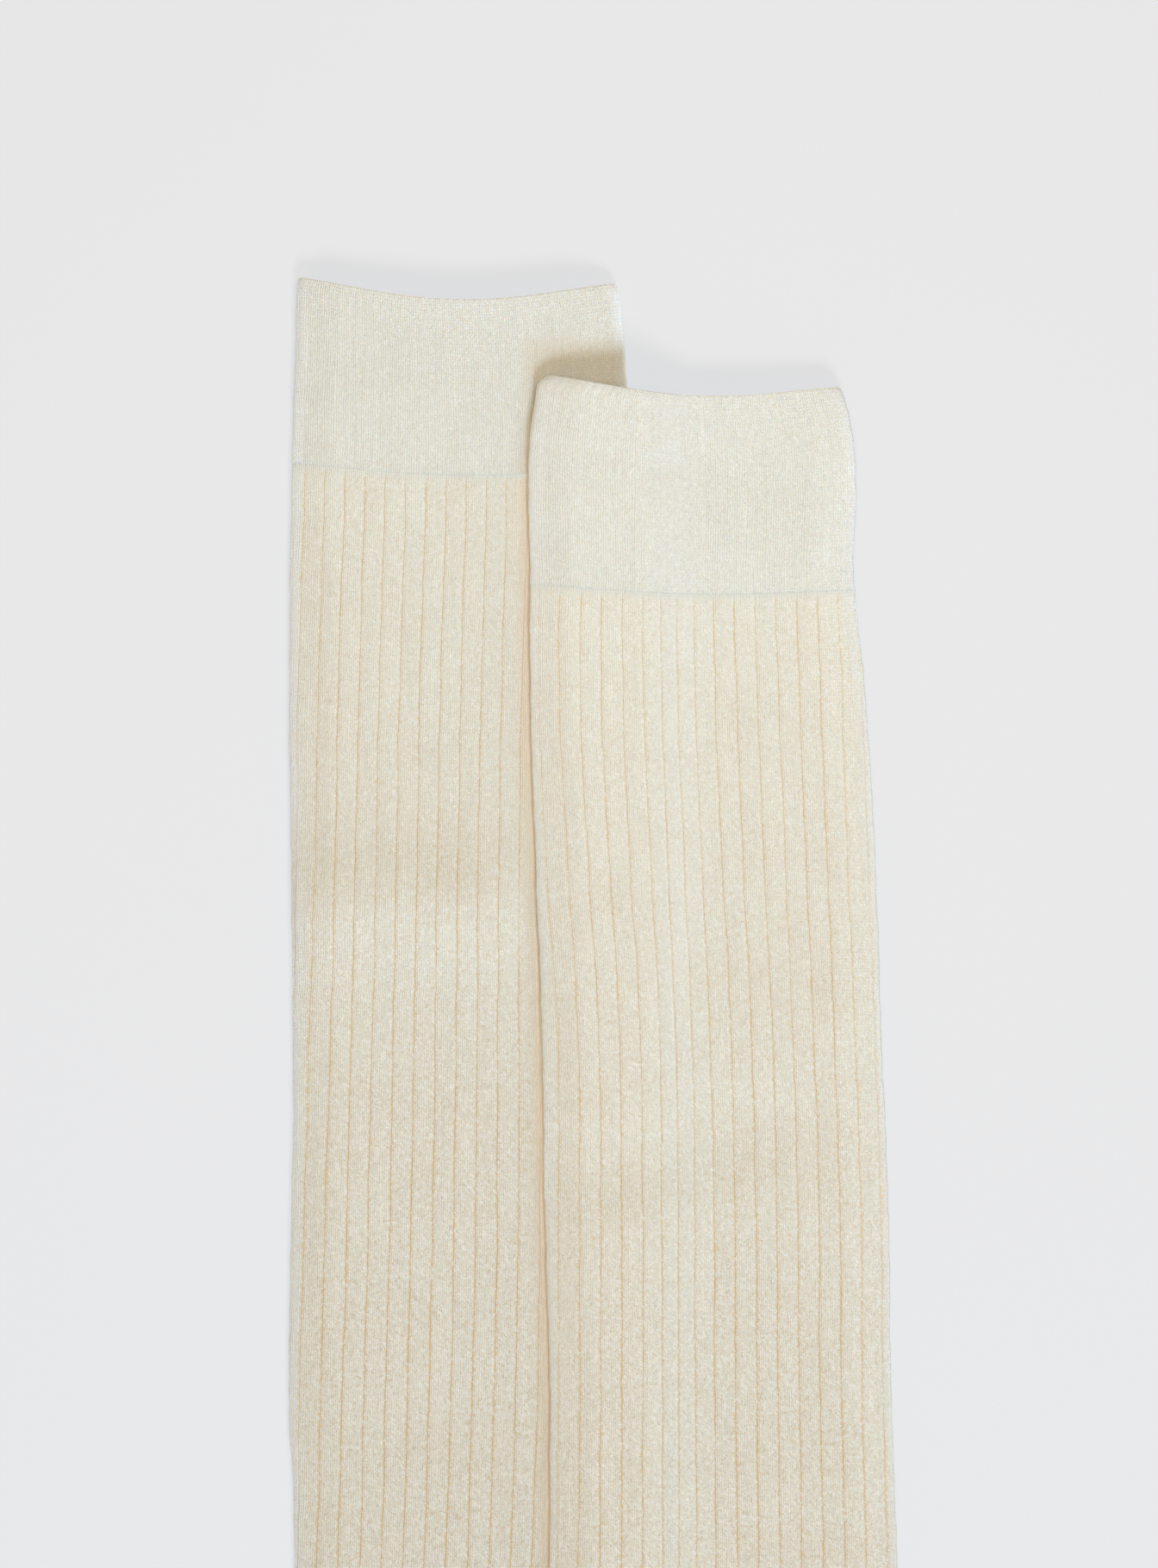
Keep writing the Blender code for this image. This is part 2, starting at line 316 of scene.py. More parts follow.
@dataclass(frozen=True)
class Shading:
    """Where the painted sheen, glow and shade by the folds and lap fade, in metres, and how strong they
    are.
    """

    fuzz_sheen_fades: Span = (0.0028, 0.0058)
    rim_painted_glow_fades: Span = (0.0009, 0.0023)
    upper_fuzz_sheen: float = 0.35
    upper_rim_painted_glow: float = 0.45
    nook_shade_width: float = 0.0029
    nook_shade_begins: Span = (-0.003, 0.013)
    shadow: float = 0.58
    shadow_fades_above: Span = (0.0075, 0.0150)
    shadow_fades_outside: Span = (0.001, 0.006)
    shadow_fades_below: Span = (0.002, 0.012)


WAVES = Waves()
SHADING = Shading()


@dataclass(frozen=True)
class SockSizes:
    """One sock: which way its toe points (-1 left, 1 right), its cuff's level and depth, and its form."""

    name: str
    side: int
    cuff_y: float
    cuff_depth: float
    seed: float
    front_corner: float
    back_corner: float
    front_fold: FoldShare
    back_fold: FoldShare
    # A painted lightening of the whole sock, by which its colours are multiplied; both socks have one yarn.
    painted_lightness: float
    yarn_share: float
    # The colour of the painted glow along the fold rims.
    painted_rim_glow: Colour
    leg: tuple[LegRow, ...]
    mouth: Mouth
    creases: tuple[Crease, ...]


LEFT_SOCK = SockSizes(
    name="left_sock",
    side=-1,
    cuff_y=CLOTH.cuff_y,
    cuff_depth=0.0504,
    seed=0.13,
    front_corner=0.25,
    back_corner=0.35,
    front_fold=FoldShare(0.72, 0.56),
    back_fold=FoldShare(0.72, 0.56),
    painted_lightness=1.0,
    yarn_share=1.0,
    painted_rim_glow=(0.80, 1.0, 1.05),
    leg=(
        LegRow(0.000, -0.0768, 0.0106, 1.00, 1.07),
        LegRow(0.015, -0.0773, 0.0122, 1.00, 1.07),
        LegRow(0.050, -0.0783, 0.0138, 1.00, 1.07),
        LegRow(0.110, -0.0790, 0.0142, 0.77, 0.80),
        LegRow(0.170, -0.0784, 0.0150, 0.43, 0.55),
        LegRow(0.225, -0.0780, 0.0156, 0.00, 0.65),
        LegRow(0.285, -0.0790, 0.0156, -0.14, 0.69),
        LegRow(0.313, -0.0790, 0.0158, -0.30, 0.57),
        LegRow(0.327, -0.0780, 0.0160, -0.47, 0.41),
        LegRow(0.350, -0.0777, 0.0162, -0.68, 0.22),
        LegRow(0.372, -0.0774, 0.0152, -0.74, 0.16),
    ),
    mouth=Mouth(-0.0005, 0.0052, 0.0012),
    creases=(
        Crease(-0.0500, 0.0975, -1.0, 0.040, 0.0155, 0.0036),
        Crease(-0.0540, 0.2358, 2.0, 0.020, 0.0100, 0.0003),
        Crease(-0.0480, 0.1700, 6.0, 0.022, 0.0120, 0.0003),
        Crease(-0.0560, 0.0150, -8.0, 0.020, 0.0100, 0.0003),
        Crease(-0.0420, -0.0420, 5.0, 0.026, 0.0110, -0.0004),
        Crease(-0.0560, -0.1080, -14.0, 0.026, 0.0100, 0.0007),
        Crease(-0.0600, -0.1330, -30.0, 0.022, 0.0080, -0.0006),
        Crease(-0.0640, -0.1560, -44.0, 0.018, 0.0070, 0.0006),
        Crease(-0.1060, -0.1900, -66.0, 0.022, 0.0110, 0.0005),
    ),
)
RIGHT_SOCK = SockSizes(
    name="right_sock",
    side=1,
    cuff_y=CLOTH.cuff_y - CLOTH.lap_step,
    cuff_depth=0.0558,
    seed=0.61,
    front_corner=0.3,
    back_corner=1.0,
    front_fold=FoldShare(0.97, 0.56),
    back_fold=FoldShare(0.62, 0.38),
    painted_lightness=1.035,
    yarn_share=0.94,
    painted_rim_glow=(1.0, 0.62, 0.25),
    leg=(
        LegRow(0.000, -0.0110, 0.0717, 0.18, 0.74),
        LegRow(0.012, -0.0129, 0.0745, 0.18, 0.74),
        LegRow(0.054, -0.0134, 0.0751, 0.18, 0.74),
        LegRow(0.085, -0.0133, 0.0781, 0.47, 0.82),
        LegRow(0.130, -0.0119, 0.0808, 0.66, 0.66),
        LegRow(0.177, -0.0102, 0.0824, 0.62, 0.40),
        LegRow(0.225, -0.0094, 0.0844, 0.66, 0.51),
        LegRow(0.272, -0.0080, 0.0851, 0.72, 0.76),
        LegRow(0.320, -0.0080, 0.0867, 0.79, 0.86),
        LegRow(0.372, -0.0075, 0.0862, 0.85, 0.90),
    ),
    mouth=Mouth(0.0012, 0.0039, -0.0019),
    creases=(
        Crease(0.0215, 0.0300, 14.0, 0.045, 0.0120, -0.0014),
        Crease(0.0261, 0.0138, 12.0, 0.021, 0.0090, 0.0004),
        Crease(0.0132, 0.0913, -25.0, 0.014, 0.0120, 0.0004),
        Crease(0.0555, 0.0631, 15.0, 0.022, 0.0120, 0.0006),
        Crease(0.0560, -0.0602, 4.0, 0.040, 0.0090, 0.0004),
        Crease(0.0450, -0.0735, 2.0, 0.036, 0.0075, -0.0003),
        Crease(0.0449, 0.1924, -8.0, 0.020, 0.0090, 0.0004),
        Crease(0.0560, -0.1400, 12.0, 0.026, 0.0100, 0.0007),
        Crease(0.0620, -0.1640, 30.0, 0.022, 0.0080, -0.0006),
        Crease(0.0680, -0.1860, 46.0, 0.018, 0.0070, 0.0006),
        Crease(0.1120, -0.2200, 66.0, 0.022, 0.0110, 0.0005),
    ),
)


# The shape of a sock's wall


class LowerSock:
    """The height of the cloth that lies over another sock, by its place in plan.

    The signed distance inside the lower sock's outline is worked out once on a fine square grid, and read
    between its points.
    """

    pitch = 0.0015
    margin = 0.03
    slope_steps = 200
    short_of_end = 1.001

    def __init__(self, outline: Array) -> None:
        """Works out the grid.

        Args:
            outline: The plan points of the lower sock's outline, in order round it.
        """
        self.low = outline.min(0) - self.margin
        counts = np.ceil((outline.max(0) + self.margin - self.low) / self.pitch).astype(int) + 1
        xs = self.low[0] + self.pitch * np.arange(counts[0])
        ys = self.low[1] + self.pitch * np.arange(counts[1])
        self.depths = np.stack([self._depth(xs, y, outline) for y in ys], axis=1)
        reach = np.linspace(-CLOTH.ramp_end, 0, self.slope_steps)
        slope = np.gradient(self._rise(reach), reach)
        extra = np.cumsum((np.hypot(1, slope) - 1) * (reach[1] - reach[0]))
        self.reach, self.extra = reach, extra * CLOTH.lap_bunching

    @staticmethod
    def _depth(xs: Array, y: float, outline: Array) -> Array:
        """Signed distance inside the outline for one row of grid points.

        It is the least distance to any side of the outline. A point is inside where a line from it
        crosses an odd number of sides.

        Args:
            xs: The row's places across the legs.
            y: The row's place along the legs.
            outline: The plan points of the outline, in order round it.

        Returns:
            Distances, negative outside.
        """
        step = np.roll(outline, -1, axis=0) - outline
        offset_x = xs[:, None] - outline[None, :, 0]
        offset_y = y - outline[None, :, 1]
        share = (offset_x * step[:, 0] + offset_y * step[:, 1]) / (step * step).sum(1)
        share = np.clip(share, 0, 1)
        distance = np.hypot(offset_x - share * step[:, 0], offset_y - share * step[:, 1]).min(1)
        spans = (outline[:, 1] > y) != (outline[:, 1] + step[:, 1] > y)
        rise = np.where(step[:, 1] == 0, 1, step[:, 1])
        crossing = outline[:, 0] + (y - outline[:, 1]) / rise * step[:, 0]
        inside = (spans[None, :] & (xs[:, None] < crossing[None, :])).sum(1) % 2 == 1
        return np.where(inside, distance, -distance)

    @staticmethod
    def _rise(depth: Array) -> Array:
        """Height over the floor: one sock's thickness inside, easing to nothing outside the outline."""
        full = 2 * CLOTH.half_thickness + CLOTH.lap_gap
        return full * smooth_step(depth, -CLOTH.ramp_end, -CLOTH.ramp_start)

    def depth(self, x: Array, y: Array) -> Array:
        """Signed distance inside the outline, read from the grid in straight lines between its points.

        Args:
            x: Places across the legs.
            y: Places along the legs.

        Returns:
            Distances, negative outside.
        """
        last_column, last_row = np.array(self.depths.shape) - self.short_of_end
        column = np.clip((x - self.low[0]) / self.pitch, 0, last_column)
        row = np.clip((y - self.low[1]) / self.pitch, 0, last_row)
        i, j = column.astype(int), row.astype(int)
        u, v = column - i, row - j
        near = self.depths[i, j] * (1 - u) + self.depths[i + 1, j] * u
        far = self.depths[i, j + 1] * (1 - u) + self.depths[i + 1, j + 1] * u
        return near * (1 - v) + far * v

    def height(self, x: Array, y: Array) -> Array:
        """How high the upper sock's underside lies."""
        return self._rise(self.depth(x, y))

    def extra_length(self, x: Array, y: Array) -> Array:
        """How much more cloth than plan width the slope and its small gathers have taken up so far."""
        return np.interp(self.depth(x, y), self.reach, self.extra)


class SockForm:
    """Every point of one sock's wall, from its distance along the tube and its rib number."""

    toe_angles = np.linspace(0.1, 1.5, 12)
    lap_rounds = 3

    def __init__(
        self, sizes: SockSizes, lower: Union[LowerSock, None] = None, upper: Union[SockSizes, None] = None
    ) -> None:
        """Keeps the sizes as arrays.

        Args:
            sizes: The sock's own sizes.
            lower: The sock that it lies over, if any.
            upper: Sizes of the sock that lies over it, if any.
        """
        self.sizes = sizes
        self.lower = lower
        self.upper = upper
        self.leg = np.array(sizes.leg)
        self.foot = np.array(FOOT)

    def station(self, along: Array) -> Station:
        """The tube at places along it.

        The leg's table is followed down to the ankle, where the middle turns on an arc and the back fold
        swells as a power of a sine. The foot runs straight, and the toe's outline is half an ellipse.

        Args:
            along: Distances from the cuff's edge.

        Returns:
            The station's values, each in an array of the same shape.
        """
        depth = np.minimum(along, CLOTH.leg_length)
        left, right, shift_at_front, shift_at_back = (
            smooth_through(depth, self.leg[:, 0], self.leg[:, column]) for column in range(1, 5)
        )
        turn = np.clip((along - CLOTH.leg_length) / CLOTH.turn_radius, 0, CLOTH.turn_angle)
        past = np.maximum(along - CLOTH.foot_start, 0)
        ahead = CLOTH.turn_radius * (1 - np.cos(turn)) + past * np.sin(turn)
        down = CLOTH.turn_radius * np.sin(turn) + past * np.cos(turn)
        toe = np.clip((along - CLOTH.toe_start) / CLOTH.toe_length, 0, 1)
        narrowing = np.sqrt(np.maximum(1 - toe * toe, CLOTH.tip_roundness))
        front, back = self._reaches(along, (right - left) / 2, turn / CLOTH.turn_angle, past, narrowing)
        radius = CLOTH.half_thickness + toe * (CLOTH.tip_half_thickness - CLOTH.half_thickness)
        return Station(
            x=CLOTH.datum_x + (left + right) / 2 + self.sizes.side * ahead,
            y=self.sizes.cuff_y - depth - down,
            heading=turn,
            front=front,
            back=back,
            radius=radius * np.sqrt(np.minimum(narrowing / CLOTH.toe_thins_at, 1)),
            shift=shift_at_front,
            spread=shift_at_back - shift_at_front,
        )

    def _reaches(
        self, along: Array, half: Array, share: Array, past: Array, narrowing: Array
    ) -> tuple[Array, Array]:
        """From the tube's middle to its front fold and to its back fold.

        Each goes from half the leg's width to the foot's own reach as the ankle turns. The cuff's corners
        are cut back on an ellipse, both folds wobble a little, and the toe narrows them.

        Args:
            along: Distances from the cuff's edge.
            half: Half the leg's width.
            share: Share of the ankle's turn.
            past: Distances past the heel.
            narrowing: The share that the toe's outline leaves of them.

        Returns:
            The two reaches.
        """
        sizes = self.sizes
        blend = smooth_step(share, 0, 1)
        in_foot = np.minimum(past, FOOT[-1].along)
        cut = 1 - np.sqrt(1 - np.clip(1 - along / CLOTH.corner_length, 0, 1) ** 2)
        reaches = []
        for column, bulge, corner, waves, seed in (
            (1, 0.0, sizes.front_corner, WAVES.front_fold, sizes.seed),
            (2, CLOTH.heel_bulge, sizes.back_corner, WAVES.back_fold, sizes.seed + WAVES.back_fold_seed),
        ):
            reach = half + blend * (smooth_through(in_foot, self.foot[:, 0], self.foot[:, column]) - half)
            reach = reach + bulge * np.sin(math.pi * share) ** CLOTH.heel_power
            reach = reach - CLOTH.corner_length * cut * corner
            wobble = CLOTH.fold_wobble * drift(along, waves, seed)
            reaches.append(reach * narrowing + wobble * narrowing)
        return reaches[0], reaches[1]

    def outline(self, count: int = 150) -> Array:
        """Plan points of the sock's outline: down the front folds, round the toe, up the back folds.

        Args:
            count: How many levels are taken from the cuff's edge to the toe seam.

        Returns:
            The points, one row each.
        """
        along = np.concatenate(
            (
                np.linspace(0, CLOTH.toe_start, count),
                CLOTH.toe_start + CLOTH.toe_length * np.sin(self.toe_angles),
            )
        )
        at = self.station(along)
        middle = np.stack((at.x, at.y), axis=1)
        across = np.stack((-self.sizes.side * np.cos(at.heading), -np.sin(at.heading)), axis=1)
        front = middle - across * at.front[:, None]
        back = middle + across * at.back[:, None]
        return np.concatenate((front, back[::-1]))

    @staticmethod
    def share_round(at: Station, rib: Array) -> Array:
        """Share of the way round the tube: 0 at the front fold, and a half at the back fold.

        The rib number is shifted, by an amount that changes evenly from the front fold to the back fold.

        Args:
            at: The tube at these places.
            rib: Rib numbers.

        Returns:
            Shares from 0 to 1.
        """
        number = np.mod(rib, CLOTH.ribs_round)
        to_back = 2 * np.minimum(number, CLOTH.ribs_round - number) / CLOTH.ribs_round
        return np.mod((rib + at.shift + at.spread * to_back) / CLOTH.ribs_round, 1)

    @staticmethod
    def on_sole(rib: Array) -> Array:
        """Where the back half of the tube lies, on which heel and sole are plain.

        Args:
            rib: Rib numbers.

        Returns:
            1 on the back half and 0 on the instep, with a smooth S between them.
        """
        number = np.mod(rib, CLOTH.ribs_round)
        past_first, past_last = (
            smooth_step(number, edge - CLOTH.heel_edge, edge + CLOTH.heel_edge)
            for edge in (CLOTH.heel_first_rib, CLOTH.heel_last_rib)
        )
        return past_first * (1 - past_last)

    def rib_share(self, along: Array, rib: Array) -> Array:
        """How much of the wide rib shows.

        Args:
            along: Distances from the cuff's edge.
            rib: Rib numbers.

        Returns:
            0 on the cuff, heel, sole and toe, 1 elsewhere, and a smooth S between them.
        """
        cuff = self.sizes.cuff_depth
        starts = smooth_step(along, cuff, cuff + CLOTH.rib_begins)
        heel = smooth_step(along, CLOTH.leg_length - CLOTH.rib_fades, CLOTH.leg_length)
        toe = smooth_step(along, CLOTH.toe_start - CLOTH.rib_fades, CLOTH.toe_start)
        return starts * (1 - heel * self.on_sole(rib)) * (1 - toe)

    def folds(self, along: Array, rib: Array) -> tuple[Array, Array]:
        """Masks along the folds: pale fibres with a painted sheen, and a narrow rim with a painted glow.

        Each is 1 at a fold and eases to 0 over a few millimetres round the tube. The upper sock's are
        weaker, and its rim is only on the fold that laps over the other sock.

        Args:
            along: Distances from the cuff's edge.
            rib: Rib numbers.

        Returns:
            The mask of the pale fibres and painted sheen, and the mask of the painted glow.
        """
        at = self.station(along)
        place = self.share_round(at, rib)
        from_front = np.minimum(place, 1 - place) * 2
        half_round = at.front + at.back + (math.pi - 2) * at.radius
        away = np.minimum(from_front, 1 - from_front) * half_round
        fuzz_sheen = 1 - smooth_step(away, *SHADING.fuzz_sheen_fades)
        rim = 1 - smooth_step(away, *SHADING.rim_painted_glow_fades)
        if self.lower is None:
            return fuzz_sheen, rim
        return SHADING.upper_fuzz_sheen * fuzz_sheen, SHADING.upper_rim_painted_glow * from_front * rim

    def lap_shade(self, along: Array, rib: Array) -> Array:
        """Where shade from the other sock is painted: a bell curve in the crease at its side, and a weaker
        cast shadow above it.

        Args:
            along: Distances from the cuff's edge.
            rib: Rib numbers.

        Returns:
            A mask, 0 on the sock that lies on top.
        """
        if self.upper is None:
            return np.zeros(np.broadcast(along, rib).shape)
        points = self.surface(along, rib)
        depth = self.upper.cuff_y - points[..., 1]
        table = np.array(self.upper.leg)
        edge = CLOTH.datum_x + smooth_through(np.clip(depth, 0, CLOTH.leg_length), table[:, 0], table[:, 1])
        outside = np.maximum(edge - points[..., 0], 0)
        # Painted shade in the crease beside the upper sock's fold.
        beside = bell(outside, SHADING.nook_shade_width) * smooth_step(depth, *SHADING.nook_shade_begins)
        # A weaker painted cast shadow of the upper sock's cuff, above its edge.
        above = 1 - smooth_step(-depth, *SHADING.shadow_fades_above)
        above = above * (1 - smooth_step(outside, *SHADING.shadow_fades_outside))
        above = SHADING.shadow * above * (1 - smooth_step(depth, *SHADING.shadow_fades_below))
        return np.maximum(beside, above)

    def shades(self, along: Array, rib: Array) -> dict[str, Array]:
        """The masks that the finishes read.

        Args:
            along: Distances from the cuff's edge.
            rib: Rib numbers.

        Returns:
            The masks by attribute name, one flat array each.
        """
        fuzz_sheen, rim = self.folds(along, rib)
        return {
            RIB_SHARE: self.rib_share(along, rib).ravel(),
            FOLD_FUZZ_SHEEN: fuzz_sheen.ravel(),
            FOLD_RIM_GLOW: rim.ravel(),
            LAP_SHADE: self.lap_shade(along, rib).ravel(),
        }

    def sunk(self, along: Array, rib: Array) -> Array:
        """How deep the skin lies below the plain tube: furrows and crowns, less the raised seams.

        Args:
            along: Distances from the cuff's edge.
            rib: Rib numbers.

        Returns:
            Depths, negative where the cloth is raised.
        """
        depth = self._wide_ribs(along, rib) + self._fine_ribs(along, rib)
        for seam in self._seams(along, rib):
            depth = depth - seam
        return depth

    def _wide_ribs(self, along: Array, rib: Array) -> Array:
        """The leg's ribs: a bell curve at each whole rib number, and a parabola's crown between two.

        Args:
            along: Distances from the cuff's edge.
            rib: Rib numbers.

        Returns:
            Depths below the plain tube.
        """
        away = np.abs(rib - np.round(rib))
        uneven = drift(along, WAVES.furrow, WAVES.furrow_step * np.round(rib))
        strength = 1 + CLOTH.furrow_unevenness * uneven
        furrow = CLOTH.furrow_depth * strength * bell(away, CLOTH.furrow_width)
        return (furrow + CLOTH.crown * (1 - 2 * away) ** 2) * self.rib_share(along, rib)

    def _fine_ribs(self, along: Array, rib: Array) -> Array:
        """The cuff's fine ribs: a cosine round the tube, uneven along it.

        Args:
            along: Distances from the cuff's edge.
            rib: Rib numbers.

        Returns:
            Depths below the plain tube.
        """
        fine_rib = rib * CLOTH.fine_ribs_round / CLOTH.ribs_round
        uneven = drift(along, WAVES.fine_rib, WAVES.fine_rib_step * np.round(fine_rib))
        strength = CLOTH.fine_rib_strength + CLOTH.fine_rib_unevenness * uneven
        wave = 0.5 + 0.5 * np.cos(2 * math.pi * fine_rib)
        cuff = self.sizes.cuff_depth
        on_cuff = 1 - smooth_step(along, cuff - CLOTH.rib_fades, cuff)
        return CLOTH.fine_rib_depth * strength * wave * on_cuff

    def _seams(self, along: Array, rib: Array) -> tuple[Array, Array, Array]:
        """The raised seams, all bell curves: across the instep at the toe, and in the two gores.

        Args:
            along: Distances from the cuff's edge.
            rib: Rib numbers.

        Returns:
            Heights above the plain tube, of the toe seam, the heel's gore and the toe's gore.
        """
        sole = self.on_sole(rib)
        number = np.mod(rib, CLOTH.ribs_round)
        from_side = np.minimum(np.abs(number - CLOTH.heel_first_rib), np.abs(number - CLOTH.heel_last_rib))
        heel, toe = CLOTH.leg_length + CLOTH.turn_length / 2, CLOTH.toe_start
        toe_seam = CLOTH.toe_seam_height * bell(along - toe, CLOTH.toe_seam_width) * (1 - sole)
        heel_gore = CLOTH.gore_height * bell(along - heel, CLOTH.heel_gore_width) * sole
        heel_gore = heel_gore * (1 - smooth_step(from_side, *CLOTH.heel_gore_ends))
        in_toe = smooth_step(along, toe, toe + CLOTH.rib_fades)
        toe_gore = CLOTH.gore_height * bell(from_side, CLOTH.toe_gore_width) * in_toe
        fade_from, fade_to = (toe + end for end in CLOTH.toe_gore_ends)
        toe_gore = toe_gore * (1 - smooth_step(along, fade_from, fade_to))
        return toe_seam, heel_gore, toe_gore

    def crease_height(self, x: Array, y: Array) -> Array:
        """Height of the upper wall's creases over plan places.

        A crease is a bell curve across its line, kept to its length by a smooth S at each end. A slow
        drift in both directions is added.

        Args:
            x: Places across the legs.
            y: Places along the legs.

        Returns:
            Heights above the plain wall.
        """
        seed = self.sizes.seed
        down, over = y + CLOTH.swell_slant_along * x, x + CLOTH.swell_slant_across * y
        height = CLOTH.swell_along * drift(down, WAVES.swell_along, seed)
        over_swell = drift(over, WAVES.swell_across, seed + WAVES.swell_across_seed)
        height = height + CLOTH.swell_across * over_swell
        for crease in self.sizes.creases:
            turn = math.radians(crease.turn)
            along = (x - crease.x) * math.cos(turn) + (y - crease.y) * math.sin(turn)
            off = (y - crease.y) * math.cos(turn) - (x - crease.x) * math.sin(turn)
            fade_from, fade_to = (crease.half_length * end for end in CLOTH.crease_ends)
            ends = 1 - smooth_step(np.abs(along), fade_from, fade_to)
            height = height + crease.height * bell(off, crease.half_width) * ends
        return height

    def surface(self, along: Array, rib: Array, inset: Union[float, Array] = 0.0) -> Array:
        """World points of the wall.

        The section is two straight walls joined by half circles at the folds, and a rib number is turned
        into a distance round it. Where the tube slopes over the lower sock, the slope uses up cloth, so
        the ribs draw together in plan. The upper wall carries the creases and the open mouth's rise.

        Args:
            along: Distances from the cuff's edge.
            rib: Rib numbers.
            inset: How far below the outer skin the points lie.

        Returns:
            Points, with the coordinates on the last axis.
        """
        along, rib, inset = np.broadcast_arrays(
            np.asarray(along, float), np.asarray(rib, float), np.asarray(inset, float)
        )
        at = self.station(along)
        wander = drift(along, WAVES.ribs, self.sizes.seed + WAVES.ribs_step * np.round(rib))
        place = self.share_round(at, rib + CLOTH.rib_wander * wander)
        across, rising, falling = self._across(at, np.minimum(place, 1 - place) * 2, inset)
        lift = np.sin(rising) * np.cos(falling)
        sunk = np.where(inset > 0, 0.0, self.sunk(along, rib))
        across = across - sunk * (np.sin(falling) - np.cos(rising))
        width = at.front + at.back
        share = np.clip(across / width, 0, 1)
        x, y = self._plan(at, across, self._mouth_drop(along, share))
        is_upper = place < 0.5
        z = CLOTH.half_thickness + np.where(is_upper, 1.0, -1.0) * (at.radius - inset - sunk) * lift
        z = z * self._flattening(along, share, np.minimum(across, width - across))
        near_mouth = np.maximum(1 - along / CLOTH.mouth_rise_depth, 0)
        rise = CLOTH.mouth_rise * near_mouth**CLOTH.mouth_rise_power
        creases = self.crease_height(x, y) * smooth_step(lift, *CLOTH.crease_lift)
        if self.lower is None:
            creases = creases * (1 - smooth_step(x, *CLOTH.pressed_from))
        z = z + is_upper * (rise * np.sin(math.pi * share) + creases)
        if self.lower is not None:
            z = z + self.lower.height(x, y)
        return np.stack((x, y, z), axis=-1)

    def _plan(self, at: Station, across: Array, drop: Union[float, Array] = 0.0) -> tuple[Array, Array]:
        """Plan places of points, from how far they lie across the tube and how far they are drawn down.

        Args:
            at: The tube at these places.
            across: Distances from the front fold.
            drop: Distances down the tube.

        Returns:
            Places across the legs, and places along them.
        """
        side = self.sizes.side
        across_x, across_y = -side * np.cos(at.heading), -np.sin(at.heading)
        down_x, down_y = side * np.sin(at.heading), -np.cos(at.heading)
        x = at.x - across_x * at.front + across * across_x + drop * down_x
        y = at.y - across_y * at.front + across * across_y + drop * down_y
        return x, y

    def _across(self, at: Station, share_round: Array, inset: Array) -> tuple[Array, Array, Array]:
        """How far across the tube a point lies, from its share of the way round one wall.

        The wall rises on a quarter circle, runs straight and falls on another. How much cloth the slope
        over the lower sock uses up depends on the place, so it is worked out in a few rounds.

        Args:
            at: The tube at these places.
            share_round: Share of the way from the front fold to the back fold.
            inset: How far below the outer skin the points lie.

        Returns:
            Distances from the front fold, and the angles turned on the rising and the falling circle.
        """
        across_x, across_y = -self.sizes.side * np.cos(at.heading), -np.sin(at.heading)
        quarter = math.pi / 2 * at.radius
        straight = at.front + at.back - 2 * at.radius
        bend = at.radius - inset
        taken = np.zeros_like(straight)
        taken_all = np.zeros_like(straight)
        if self.lower is not None:
            taken_all = self.lower.extra_length(at.x + across_x * at.back, at.y + across_y * at.back)
        for _ in range(self.lap_rounds):
            travel = share_round * (2 * quarter + straight + taken_all) - taken
            rising = np.clip(travel / quarter, 0, 1) * math.pi / 2
            level = np.clip((travel - quarter) / straight, 0, 1)
            falling = np.clip((travel - quarter - straight) / quarter, 0, 1) * math.pi / 2
            across = inset + bend * (1 - np.cos(rising)) + level * straight + bend * np.sin(falling)
            if self.lower is None:
                break
            taken = self.lower.extra_length(*self._plan(at, across))
        return across, rising, falling

    def _mouth_drop(self, along: Array, share: Array) -> Array:
        """How far the scooped mouth draws a point down: a straight slope and a power of a sine across it.

        Args:
            along: Distances from the cuff's edge.
            share: Share of the width from the front fold.

        Returns:
            Distances down the tube, which fall off in a straight line away from the mouth.
        """
        mouth = self.sizes.mouth
        drop = mouth.front_drop * (1 - share) + mouth.back_drop * share
        drop = drop + mouth.scoop * np.sin(math.pi * share) ** CLOTH.scoop_power
        return drop * np.maximum(1 - along / CLOTH.mouth_reach, 0)

    def _flattening(self, along: Array, share: Array, from_fold: Array) -> Array:
        """The tube's thickness as a share of the full one.

        Args:
            along: Distances from the cuff's edge.
            share: Share of the width from the front fold.
            from_fold: Distances from the nearer fold.

        Returns:
            Each fold's own share there, easing to 1 away from it.
        """
        settled = smooth_step(along, CLOTH.fold_starts, CLOTH.fold_settles)
        front, back = self.sizes.front_fold, self.sizes.back_fold
        at_mouth = front.at_mouth * (1 - share) + back.at_mouth * share
        below = front.below * (1 - share) + back.below * share
        at_fold = at_mouth * (1 - settled) + below * settled
        return at_fold + (1 - at_fold) * smooth_step(from_fold, 0, CLOTH.fold_reach)


# Meshes


class Corners(NamedTuple):
    """Faces of a grid: vertex numbers, and the grid row and column of each corner before wrapping."""

    vertices: Array
    rows: Array
    columns: Array


def grid_faces(rows: int, columns: int, loop_rows: bool, loop_columns: bool) -> Corners:
    """Four-sided faces between neighbouring points of a grid.

    Args:
        rows: Number of rows.
        columns: Number of columns.
        loop_rows: Whether the last row joins the first.
        loop_columns: Whether the last column joins the first.

    Returns:
        The faces' corners.
    """
    row, column = np.meshgrid(
        np.arange(rows if loop_rows else rows - 1),
        np.arange(columns if loop_columns else columns - 1),
        indexing="ij",
    )
    corner_rows = np.stack((row, row + 1, row + 1, row), axis=-1).reshape(-1, 4)
    corner_columns = np.stack((column, column, column + 1, column + 1), axis=-1).reshape(-1, 4)
    vertices = (corner_rows % rows) * columns + corner_columns % columns
    return Corners(vertices, corner_rows, corner_columns)


